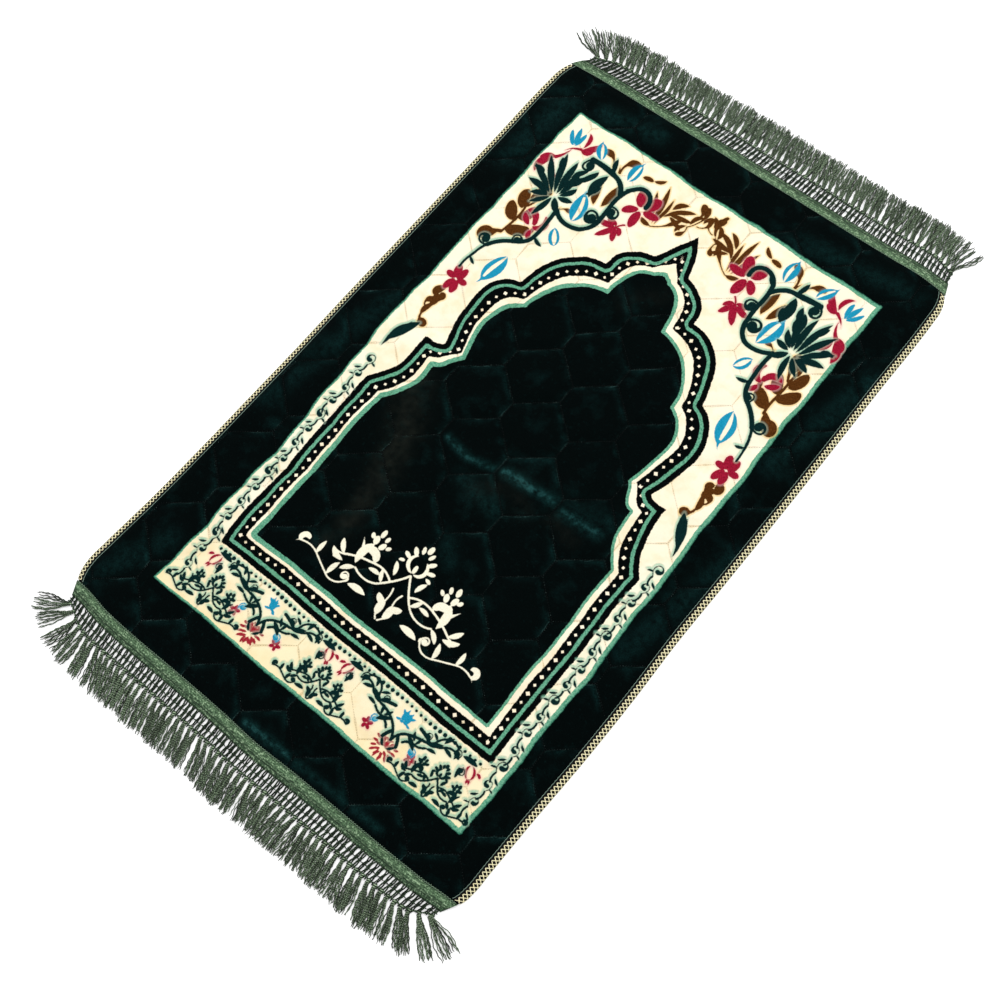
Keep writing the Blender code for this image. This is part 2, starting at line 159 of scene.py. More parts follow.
def seam_distance(x, y):
    """Distance to the nearest sewn line: for each of two rows of six-sided cells, the least
    distance to an upright and to a slanting side; the larger of the two rows counts. It is
    worked out on arrays of places, and on a material's Tones in the same words."""
    stray_x, stray_y = wander(x, y)
    x, y = x - stray_x, y - stray_y
    half, rise = CELL_X / 2, CELL_Y - CELL_SIDE
    cells = []
    for row in (0, 1):
        off_x = abs((x - SEAM_X - half * (1 - row) + half) % CELL_X - half)
        off_y = abs((y - ROW_Y + row * CELL_Y + CELL_Y) % (2 * CELL_Y) - CELL_Y)
        slant = rise * half + half * CELL_SIDE / 2 - rise * off_x - half * off_y
        cells.append(np.minimum(half - off_x, slant / math.hypot(half, rise)))
    return np.maximum(*cells)


def beside_segment(x, y, x0, y0, x1, y1):
    """Distance from points to a straight segment, and where on it, from 0 to 1, the nearest
    place is."""
    run_x, run_y = x1 - x0, y1 - y0
    share = np.clip(((x - x0) * run_x + (y - y0) * run_y) / (run_x**2 + run_y**2), 0, 1)
    return np.hypot(x - x0 - share * run_x, y - y0 - share * run_y), share


def pile_height(x, y):
    """Height of the plush: pillows that rise from the seams as 1 less a bell of the distance,
    a slow swell and the low ridges, all fading to a level rim at the edges."""
    pillow = 1 - bell(seam_distance(x, y) / CROWN_REACH)
    swell = SWELL * (np.sin(x / 83 + 1.1) * np.cos(y / 97) + np.sin(y / 53 - x / 131))
    height = SEAM_HEIGHT + (CROWN_HEIGHT - SEAM_HEIGHT + swell) * pillow
    for *ends, half, rise in FOLDS:
        height = height + rise * bell(beside_segment(x, y, *ends)[0] / half)
    from_side, from_end = from_edges(x, y)
    inwards, rim = RIM[-1]
    height = rim + (height - rim) * ease((from_side - inwards) / SIDE_SLOPE)
    share = ease((from_end + BRAID_END) / (END_SLOPE + BRAID_END))
    return END_HEIGHT + (height - END_HEIGHT) * share


def tape_under(out):
    """Underside of the tape where it lies on the slab's thin end, by distance outwards."""
    return 5.8 - 2.7 * out / FLANGE


# One half of the arch, from its point down to the foot: the way a curve leaves its corner
# and the way it reaches the next one, in degrees from +X; then the corner's half width and y
# on the arch's outer edge, on the inner edge of its black band and on the dark field.
ARCH_CORNERS = (
    (-57, -68, 0, 396, 0, 343, 0, 316),
    (-10, -88, 30, 334, 21, 317, 12, 307),
    (-1, -84, 81, 282, 60, 258, 49, 243),
    (-20, -112, 162, 187, 139, 167, 129, 156),
    (-40, -3, 187, 40, 159, 43, 148, 38),
    (-95, -50, 217, 35, 192, 12, 178, 3),
    (-90, -90, 246, -66, 219, -77, 208, -79),
    (180, 180, 246, -378, 221, -351, 209, -340),
)
# The row whose piece is the straight jamb, the steps along the lines, and a curve's pull.
JAMB, CURVE_STEP, JAMB_STEP, FOOT_STEPS, SIDE_STEPS, PULL = 6, 5.0, 40.0, 13, 18, 0.4
# The arch's middle line leans to the right on its way down.
ARCH_TOP, MIDDLE_AT_TOP, LEAN = 396.0, 1.0, 0.0142
# The diamonds' row, as a share of the way from the arch's outer edge to the ivory rim.
DIAMOND_SHARE, DIAMOND_PITCH = 0.765, 14.2
# Corners of the ivory frame and the places where its long sides change their slant.
FRAME_CORNERS = ((-275, 466), (274, 461), (277, 190), (280, 0), (286, -200), (287, -471),
                 (-268, -475), (-264, -220), (-277, 0))


def arch_middle(y):
    """x of the arch's middle line."""
    return MIDDLE_AT_TOP + LEAN * (ARCH_TOP - y)


def quilt_drift(x, y):
    """Where the quilting moves a point of the pattern to: slow sines of a millimetre or so."""
    return (x + 1.3 * np.sin(y / 27 + x / 90) + 0.7 * np.sin(y / 11 - x / 60),
            y + 1.1 * np.sin(x / 33 - y / 70) + 0.6 * np.sin(x / 13 + y / 50))


def arch_line(outer, inner, share):
    """A closed line a share of the way between two lines of the corner table. Each piece is
    a cubic that keeps its leaving and arriving directions; the left half mirrors the right."""
    rows = np.array(ARCH_CORNERS, dtype=float)
    corners = rows[:, 2 + 2 * outer:4 + 2 * outer] * (1 - share)
    corners = corners + rows[:, 2 + 2 * inner:4 + 2 * inner] * share
    half = []
    for k, (start, end) in enumerate(zip(corners[:-1], corners[1:])):
        chord = math.hypot(*(end - start))
        steps = max(2, int(chord / (JAMB_STEP if k == JAMB else CURVE_STEP)))
        t = np.linspace(0, 1, steps + 1)[:-1, None]
        leave, arrive = np.radians(rows[k, :2])
        near = start + PULL * chord * np.array((math.cos(leave), math.sin(leave)))
        far = end - PULL * chord * np.array((math.cos(arrive), math.sin(arrive)))
        half.append(start * (1 - t)**3 + 3 * near * t * (1 - t)**2 + 3 * far * t**2 * (1 - t)
                    + end * t**3)
    half = np.concatenate(half)
    share_x = np.linspace(1, -1, FOOT_STEPS)[:, None]
    foot = corners[-1] * np.concatenate((share_x, np.ones_like(share_x)), axis=1)
    line = np.concatenate((half, foot, (half * (-1, 1))[:0:-1]))
    return np.stack(quilt_drift(line[:, 0] + arch_middle(line[:, 1]), line[:, 1]), axis=-1)


def frame_line():
    """The ivory frame's outer edge: straight between its corners, then moved by the drift."""
    corners = np.array(FRAME_CORNERS, dtype=float)
    t = np.linspace(0, 1, SIDE_STEPS + 1)[:-1, None]
    line = np.concatenate([a + (b - a) * t for a, b in zip(corners, np.roll(corners, -1, 0))])
    return np.stack(quilt_drift(line[:, 0], line[:, 1]), axis=-1)


def beside_line(line, x, y):
    """Distance from points to a closed line, positive inside it (an odd number of its pieces
    cross a ray in +X) and negative outside, and how far along the line the nearest place is."""
    nearest, along = np.full(x.shape, 1e9), np.zeros(x.shape)
    inside = np.zeros(x.shape, dtype=bool)
    reach = 0.0
    for (x0, y0), (x1, y1) in zip(line, np.roll(line, -1, axis=0)):
        away, share = beside_segment(x, y, x0, y0, x1, y1)
        length = math.hypot(x1 - x0, y1 - y0)
        closer = away < nearest
        nearest = np.where(closer, away, nearest)
        along = np.where(closer, reach + share * length, along)
        reach += length
        if y0 != y1:
            inside ^= ((y0 > y) != (y1 > y)) & (x < x0 + (y - y0) * (x1 - x0) / (y1 - y0))
    return np.where(inside, nearest, -nearest), along


# Painted teal sheen where the pile is brushed against its lie: from x, y, to x, y, half width,
# strength.
BRUSHED_SHEEN = (
    (-84, -67, -40, -74, 6, 0.6), (-40, -74, -4, -64, 6, 0.55), (14, -58, 60, -54, 8, 0.85),
    (60, -54, 96, -50, 8, 0.6), (112, -56, 170, -50, 9, 0.55), (-30, -100, 40, -112, 12, 0.25),
    (120, -40, 200, -20, 18, 0.16), (-60, 285, 10, 240, 8, 0.2), (10, -180, 40, -205, 12, 0.22),
    (-310, 340, -300, 470, 20, 0.32), (-240, 484, -150, 500, 14, 0.35),
    (110, 476, 300, 500, 14, 0.25), (292, 170, 330, 360, 16, 0.28), (298, -160, 335, 40, 16, 0.25),
    (-335, -520, -290, -420, 16, 0.25), (-330, -180, -290, 60, 16, 0.22),
    (-30, -540, 60, -536, 7, 0.6), (60, -536, 200, -530, 6, 0.4),
)
# The way the light falls, the step that finds a slope and how far from a seam it shows.
LIT_X, LIT_Y, LIT_STEP, LIT_REACH = 0.42, 0.91, 5.0, 7.0
# Greyish places where the pile lies flat along a fold.
WORN = (
    (-176, -34, -140, -96, 25, 0.9), (-140, -96, -116, -170, 21, 1.0),
    (-122, -150, -108, -250, 16, 0.9), (-112, -250, -118, -295, 11, 0.6),
    (20, -70, 70, -84, 14, 0.35), (110, -70, 150, -80, 12, 0.35),
    (-20, 250, 20, 290, 16, 0.25), (0, -100, 40, -60, 18, 0.3),
)


def soft_marks(marks, x, y):
    """Strength of brush marks at points: a bell of distance over half width, the largest of
    them all."""
    return np.max([strong * bell(beside_segment(x, y, *ends)[0] / half)
                   for *ends, half, strong in marks], axis=0)


def lit_slope(x, y):
    """Where a pillow slopes down towards the arch end and the right, and its pile catches the
    light: how much nearer the seam is a step that way, fading with the distance from it."""
    here = seam_distance(x, y)
    there = seam_distance(x + LIT_STEP * LIT_X, y + LIT_STEP * LIT_Y)
    return np.clip((here - there) / LIT_STEP, 0, 1) * bell(here / LIT_REACH)


def pattern_fields(x, y):
    """What the plush's colours depend on, at points: distances inside the pattern's lines, the
    place along the row of diamonds, the brush marks that carry a painted sheen, the worn places,
    and the painted light on slopes that face the light."""
    band, along = beside_line(arch_line(0, 1, DIAMOND_SHARE), x, y)
    return {
        "frame": beside_line(frame_line(), x, y)[0],
        "arch": beside_line(arch_line(0, 1, 0.0), x, y)[0],
        "rim": beside_line(arch_line(0, 1, 1.0), x, y)[0],
        "field": beside_line(arch_line(1, 2, 1.0), x, y)[0],
        "band": band, "along": along,
        "brushed_sheen": soft_marks(BRUSHED_SHEEN, x, y), "worn": soft_marks(WORN, x, y),
        "lit": lit_slope(x, y),
    }


def place_object(name, data):
    """A new object in the scene, at the origin."""
    made = bpy.data.objects.new(name, data)
    bpy.context.scene.collection.objects.link(made)
    return made


def make_piece(name, points, faces, fields=None, uv=None, materials=(), face_slots=None):
    """One named object in the row frame. points are pattern millimetres, faces is a list of
    arrays whose rows are polygons, fields are values by point, uv a pair by face corner."""
    mesh = bpy.data.meshes.new(name)
    place = (np.asarray(points, dtype=float) - (MIDDLE_X, MIDDLE_Y, 0)) * MM
    mesh.vertices.add(len(place))
    mesh.vertices.foreach_set("co", place.ravel())
    faces = [np.atleast_2d(group) for group in faces]
    corners = np.concatenate([group.ravel() for group in faces])
    counts = np.concatenate([np.full(len(group), group.shape[1]) for group in faces])
    mesh.loops.add(len(corners))
    mesh.loops.foreach_set("vertex_index", corners.astype(np.int32))
    mesh.polygons.add(len(counts))
    starts = np.concatenate(([0], np.cumsum(counts)[:-1]))
    mesh.polygons.foreach_set("loop_start", starts.astype(np.int32))
    for field, value in (fields or {}).items():
        layer = mesh.attributes.new(field, "FLOAT", "POINT")
        layer.data.foreach_set("value", np.asarray(value, dtype=np.float32).ravel())
    if uv is not None:
        layer = mesh.uv_layers.new(name="UVMap")
        layer.data.foreach_set("uv", np.asarray(uv, dtype=np.float32).ravel())
    for material in materials:
        mesh.materials.append(material)
    if face_slots is not None:
        mesh.polygons.foreach_set("material_index", face_slots.astype(np.int32))
    mesh.update(calc_edges=True)
    mesh.validate()
    mesh.shade_smooth()
    return place_object(name, mesh)


def grid_faces(rows, columns):
    """Quads of a grid whose points run along a row and then row by row; they face up where
    columns run to +X and rows to +Y."""
    a = (np.arange(rows - 1)[:, None] * columns + np.arange(columns - 1)).ravel()
    return np.stack((a, a + 1, a + 1 + columns, a + columns), axis=-1)


def slab_points():
    """Upper face as arrays of rows by columns. A column keeps its share of the way between
    the long edges and a row its share between the plush's ends, found by substitution."""
    rim, cap = np.array(RIM).T
    outs = np.array((FLANGE, FLANGE / 2, WALL_OUT, WALL_OUT - 0.15, BRAID_END))
    n, m = len(outs), len(rim)
    across = np.linspace(0, 1, int((PLUSH_WIDE - 2 * rim[-1]) / GRID_STEP))[1:-1]
    along = np.linspace(0, 1, int(PLUSH_LONG / GRID_STEP))[1:-1]
    x = np.tile(np.linspace(*FIRST_X, len(across) + 2 * m), (len(along) + 2 * n, 1))
    for _ in range(ROUNDS):
        foot, arch = plush_end(x, -1), plush_end(x, 1)
        y = np.concatenate((
            foot[:n] - outs[:, None],
            foot[n:-n] - BRAID_END + (arch + BRAID_END - foot + BRAID_END)[n:-n] * along[:, None],
            arch[-n:] + outs[::-1, None]))
        left, right = rug_edge(y, False), rug_edge(y, True)
        inner, width = left + rim[-1], right - left - 2 * rim[-1]
        x = np.concatenate((left[:, :m] + rim, inner[:, m:-m] + width[:, m:-m] * across,
                            right[:, -m:] - rim[::-1]), axis=1)
    z = pile_height(x, y)
    z[:, :m] = np.minimum(z[:, :m], cap)
    z[:, -m:] = np.minimum(z[:, -m:], cap[::-1])
    # The rows past the pile's wall lie just under the tape.
    for side in (slice(0, 3), slice(-1, -4, -1)):
        z[side] = np.minimum(z[side], tape_under(outs[:3])[:, None] - UNDER_TAPE)
    return x, y, z


def slab_faces(x, y, z):
    """Points and faces of the closed slab: its upper face, its rim, and an underside let in
    along the long edges for the lower fold of the braid."""
    rows, columns = x.shape
    upper = np.stack((x, y, z), axis=-1).reshape(-1, 3)
    high = np.full(rows, RAISED)
    high[:4] = high[-4:] = 0.0
    step = np.array((0.0, UNDER_FOLD - RAISED, UNDER_FOLD + STEP_IN - RAISED))
    low_x = np.concatenate((x[:, :1] + step, x[:, -1:] - step[::-1]), axis=1)
    low_y = np.concatenate((np.tile(y[:, :1], 3), np.tile(y[:, -1:], 3)), axis=1)
    low_z = high[:, None] * np.array((1, 1, 0, 0, 1, 1))
    lower = np.stack((low_x, low_y, low_z), axis=-1).reshape(-1, 3)
    ends = [np.stack((x[r], y[r], np.zeros(columns)), axis=-1)[1:-1] for r in (0, -1)]
    points = np.concatenate((upper, lower, *ends))
    first = rows * columns
    under = first + 6 * np.arange(rows)
    strips = grid_faces(rows, 6)[5:-5, ::-1] + first
    left = np.arange(rows - 1) * columns
    right = left + columns - 1
    walls = [np.stack((under[:-1], left, left + columns, under[1:]), axis=-1),
             np.stack((under[1:] + 5, right + columns, right, under[:-1] + 5), axis=-1)]
    plates = []
    ends_at = first + 6 * rows
    for r, near, ring in ((0, 1, ends_at), (rows - 1, rows - 2, ends_at + columns - 2)):
        base = np.concatenate(([under[r]], ring + np.arange(columns - 2), [under[r] + 5]))
        top = r * columns + np.arange(columns)
        wall = np.stack((base[:-1], base[1:], top[1:], top[:-1]), axis=-1)
        plate = np.concatenate((base, under[near] + np.arange(5, -1, -1)))
        plates += [wall, plate[::-1]] if r == 0 else [wall[:, ::-1], plate]
    return points, [grid_faces(rows, columns), strips, *walls, *plates]


class Tone:
    """A number that varies over a piece. Sums on it, and numpy's sine, minimum and maximum
    of it, become Math nodes."""

    NODES = {np.sin: "SINE", np.minimum: "MINIMUM", np.maximum: "MAXIMUM"}

    def __init__(self, dyer, socket):
        self.dyer = dyer
        self.socket = socket

    def math(self, operation, *others, clamp=False):
        """A Math node on this number and others."""
        settings = {"operation": operation, "use_clamp": clamp}
        return self.dyer.node("ShaderNodeMath", settings, dict(enumerate((self, *others))))

    def __array_ufunc__(self, function, method, first, *others):
        """What numpy calls for its functions."""
        return first.math(self.NODES[function], *others)

    __add__ = __radd__ = partialmethod(math, "ADD")
    __sub__ = partialmethod(math, "SUBTRACT")
    __mul__ = __rmul__ = partialmethod(math, "MULTIPLY")
    __mod__ = partialmethod(math, "FLOORED_MODULO")
    __abs__ = partialmethod(math, "ABSOLUTE")
    least = partialmethod(math, "MINIMUM")
    most = partialmethod(math, "MAXIMUM")

    def __rsub__(self, other):
        return self * -1 + other

    def __truediv__(self, number):
        return self * (1 / number)

    def wave(self):
        """The sine, moved to lie from 0 to 1."""
        return np.sin(self) * 0.5 + 0.5

    def ramp(self, low, high):
        """0 up to low, 1 from high on, straight between."""
        slope = 1.0 / (high - low)
        return self.math("MULTIPLY_ADD", slope, -low * slope, clamp=True)


class Dyer:
    """The nodes of one cloth's material."""

    def __init__(self, name, roughness, sheen=0.0, sheen_tint=(1, 1, 1, 1), specular=0.5):
        self.material = bpy.data.materials.new(name)
        self.material.use_nodes = True
        self.tree = self.material.node_tree
        self.shader = self.tree.nodes["Principled BSDF"]
        self.feed(self.shader, {
            "Roughness": roughness, "Sheen Weight": sheen, "Sheen Tint": sheen_tint,
            "Sheen Roughness": 0.35, "Specular IOR Level": specular})
        self.place = self.node("ShaderNodeTexCoord", output="Object")

    def feed(self, node, inputs):
        """Sets or links a node's sockets."""
        for key, value in inputs.items():
            if isinstance(value, Tone):
                self.tree.links.new(value.socket, node.inputs[key])
            else:
                node.inputs[key].default_value = value

    def node(self, kind, settings=None, inputs=None, output=0):
        """A new node with its settings and its sockets; its output as a Tone."""
        made = self.tree.nodes.new(kind)
        for key, value in (settings or {}).items():
            setattr(made, key, value)
        self.feed(made, inputs or {})
        return Tone(self, made.outputs[output])

    def field(self, name):
        """A value stored on the piece's points."""
        return self.node("ShaderNodeAttribute", {"attribute_name": name}, output="Fac")

    def split(self, vector):
        """The x, y and z of a vector."""
        parts = self.node("ShaderNodeSeparateXYZ", None, {0: vector}).socket.node.outputs
        return [Tone(self, part) for part in parts]

    def on_cloth(self):
        """The two numbers of a piece's UV map: millimetres over a cloth, or the share of a
        turn round a yarn and the millimetres along it."""
        return self.split(self.node("ShaderNodeUVMap", {"uv_map": "UVMap"}))[:2]

    def mottle(self, size, detail=2.0, stretch=None):
        """Noise from 0 to 1 whose patches are about size millimetres; stretch scales x, y, z."""
        place = self.place
        if stretch:
            place = self.node("ShaderNodeMapping", None, {"Vector": place, "Scale": stretch})
        return self.node("ShaderNodeTexNoise", None, {
            "Vector": place, "Scale": 1 / (size * MM), "Detail": detail, "Roughness": 0.55})

    def mix(self, share, under, over):
        """over laid on under by a share from 0 to 1."""
        return self.node("ShaderNodeMix", {"data_type": "RGBA"}, {0: share, 6: under, 7: over}, 2)

    def finish(self, colour, relief=None, strength=1.0):
        """Feeds the colour and a relief in millimetres to the shader."""
        self.feed(self.shader, {"Base Color": colour})
        if relief is not None:
            bump = self.node("ShaderNodeBump", None, {
                "Height": relief, "Distance": MM, "Strength": strength})
            self.feed(self.shader, {"Normal": bump})
        return self.material


def dye(red, green, blue):
    """A colour given as it looks, 0 to 255, as linear light."""
    parts = np.array((red, green, blue)) / 255
    return (*np.where(parts < 0.04045, parts / 12.92, ((parts + 0.055) / 1.055) ** 2.4), 1.0)


def seam_tone(dyer):
    """Distance to the nearest seam, worked out in the material so that a seam stays as thin
    as its thread, and the place on the pattern."""
    east, north, _ = dyer.split(dyer.place)
    x, y = east / MM + MIDDLE_X, north / MM + MIDDLE_Y
    return seam_distance(x, y), x, y


def plush_dyer(name):
    """Dull cut pile with a little sheen."""
    return Dyer(name, 0.95, sheen=0.015, sheen_tint=dye(120, 190, 190), specular=0.04)


PILE, BLACK, IVORY, CREAM = dye(0, 4, 4), dye(1, 4, 4), dye(245, 234, 210), dye(240, 222, 172)
MINT, MINT_DARK = dye(110, 170, 140), dye(44, 118, 92)
# How far in from its outer edge the arch's outer black and its mint band end, the width of the
# frame's and the field's mint lines, and how much wider they are towards one side; then the
# width of a dye's soft edge and half that of a diamond.
BLACK_ENDS, MINT_ENDS, FRAME_MINT, FIELD_MINT = 8.3, 13.2, 4.9, 5.6
FRAME_LEAN, FIELD_LEAN = 1.8 / 275, 1.6 / 200
DYE_EDGE, DIAMOND_HALF = 0.7, 2.9


def plush_ground(dyer):
    """Colours and relief of the plush before its flowers: distances inside the lines of the
    pattern, shaken a little, choose the dye."""
    seam, x, y = seam_tone(dyer)
    seam = abs(seam + (dyer.mottle(16.0, 2.0) - 0.5) * 5.0)
    shake = (dyer.mottle(7.0) - 0.5) * 2.6 + (dyer.mottle(1.7) - 0.5) * 2.2
    frame_in = dyer.field("frame") + shake
    arch = dyer.field("arch") + shake
    rim = dyer.field("rim") + shake
    field = dyer.field("field") + shake * 0.8
    streaks = dyer.mottle(2.2, 3.0)
    speck = dyer.mottle(1.5, 3.0)
    lit = dyer.field("lit") * dyer.mottle(26.0, 3.0).ramp(0.4, 0.7)
    # Brushed pile is shown as a painted teal sheen, weaker near the seams.
    brushed_sheen = (dyer.field("brushed_sheen") * dyer.mottle(9.0, 3.0).ramp(0.2, 0.6)
               * (seam.ramp(1.0, 9.0) * 0.75 + 0.25))
    # Painted sheen on brushed pile and painted light on the lit slopes, with random teal mottling,
    # lift the near-black pile towards teal.
    teal_sheen_and_mottle = (brushed_sheen * 0.55 + lit * 0.36 + dyer.mottle(34.0, 4.0).ramp(0.56, 0.85) * 0.11
            + dyer.mottle(6.0, 4.0).ramp(0.6, 0.8) * 0.07)
    fibre = speck.ramp(0.3, 0.7) * 1.4 + 0.2
    pile = dyer.mix((teal_sheen_and_mottle * fibre).least(1.0), PILE, dye(26, 74, 73))
    # A brighter painted sheen where the pile is brushed most.
    pile = dyer.mix((brushed_sheen.ramp(0.35, 0.95) * fibre * 0.6).least(1.0), pile, dye(44, 92, 92))
    pile = dyer.mix(dyer.field("worn") * dyer.mottle(14.0, 4.0).ramp(0.25, 0.75) * 0.65,
                    pile, dye(30, 33, 28))
    pile = dyer.mix(speck.ramp(0.5, 0.8) * 0.3, pile, dye(6, 20, 19))
    # A thin painted highlight where the pile stands up on the lit side of a seam.
    seam_highlight = seam.ramp(0.5, 1.1) * (1 - seam.ramp(1.3, 2.4)) * lit * speck.ramp(0.35, 0.65)
    pile = dyer.mix(seam_highlight.least(0.8), pile, dye(100, 144, 140))
    mint = dyer.mix(streaks.ramp(0.28, 0.6), MINT_DARK, MINT)
    mint = dyer.mix(dyer.mottle(24.0).ramp(0.5, 0.8) * 0.4, mint, dye(88, 148, 108))
    foot = (y * -1).ramp(330, 480) * 0.75 + dyer.mottle(70.0, 2.0).ramp(0.45, 0.8) * 0.35
    ivory = dyer.mix(foot.least(1.0), IVORY, CREAM)
    ivory = dyer.mix(dyer.mottle(24.0, 3.0).ramp(0.46, 0.72) * 0.34, ivory, dye(226, 196, 138))
    # Painted shade: a broken tan line along the seam grooves on the ivory.
    crease_shade = (1 - seam.ramp(0.2, 1.8)) * dyer.mottle(30.0).ramp(0.35, 0.6) * 0.42
    ivory = dyer.mix(crease_shade + streaks.ramp(0.5, 0.8) * 0.10, ivory, dye(216, 190, 130))

    # The bands, from the frame inwards: each dye begins at its distance inside a line.
    rough_mint = dyer.mix(frame_in.ramp(0.4, 2.6), dye(16, 78, 62), mint)
    colour = pile
    for inside, begins, band_dye in (
            (frame_in, 0, rough_mint), (frame_in - x * FRAME_LEAN, FRAME_MINT, ivory),
            (arch, 0, BLACK), (arch, BLACK_ENDS, mint), (arch, MINT_ENDS, BLACK)):
        colour = dyer.mix(inside.ramp(begins, begins + DYE_EDGE), colour, band_dye)
    beside = abs((dyer.field("along") % DIAMOND_PITCH) - DIAMOND_PITCH / 2)
    swell = np.sin(dyer.field("along") * (math.pi / DIAMOND_PITCH)) * 0.5
    diamond = abs(dyer.field("band") + shake * 0.4) + beside
    diamond = (swell + DIAMOND_HALF - diamond).ramp(-0.4, 0.4) * (arch - MINT_ENDS).ramp(0, 1)
    colour = dyer.mix(diamond * (1 - rim.ramp(-1.2, -0.6)), colour, ivory)
    for inside, begins, band_dye in (
            (rim, 0, ivory), (field - x * FIELD_LEAN, -FIELD_MINT, mint), (field, 0, pile)):
        colour = dyer.mix(inside.ramp(begins, begins + DYE_EDGE), colour, band_dye)
    # Painted shade darkens the seam grooves, deeply on the pile and a little on the ivory.
    groove = 1 - seam.ramp(0.0, 1.6)
    on_pile = (1 - frame_in.ramp(0, 1)).most(field.ramp(0, 1))
    colour = dyer.mix(groove * (on_pile * 0.6 + 0.12), colour, dye(1, 4, 4))
    relief = (dyer.mottle(1.1, 3.0) * 0.55 + dyer.mottle(4.5, 3.0) * 0.7
              + dyer.mottle(17.0, 2.0) * 1.0 - groove * groove * 0.9)
    return colour, relief


NAP = 0.55
plush = plush_dyer("plush_pile")
plush.finish(*plush_ground(plush), NAP)

backing = Dyer("quilted_backing", 0.95)
backing_seam = seam_tone(backing)[0]
backing_weave = backing.mottle(1.5, 2.0)
backing_colour = backing.mix(backing_weave, dye(8, 22, 20), dye(20, 40, 36))
backing_colour = backing.mix(1 - backing_seam.ramp(0.4, 1.2), backing_colour, dye(2, 8, 8))
backing.finish(backing_colour, backing_weave * 0.5 + backing_seam.ramp(0.0, 4.0) * 0.6, 0.6)

slab_xyz, slab_quads = slab_faces(*slab_points())
slab_counts = [len(np.atleast_2d(group)) for group in slab_quads]
# The strips under the edges and the two plates under the rug are backing.
is_under = np.repeat((0, 1, 0, 0, 0, 1, 0, 1), slab_counts)
rug_plush = make_piece(
    "rug_plush", slab_xyz, slab_quads, pattern_fields(slab_xyz[:, 0], slab_xyz[:, 1]),
    materials=(plush.material, backing.material), face_slots=is_under)
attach(rug_plush, "root")
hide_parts("rug_body")

# ---------------------------------------------------------------------------------------
# The flowers: tufts of other dyes cut into the plush's ivory frame and field, and sheared a
# little proud of it. Acanthus, vines, blossoms, bells, fronds and posies are built from brush
# strokes, and their dyes bleed a little into the pile round them.

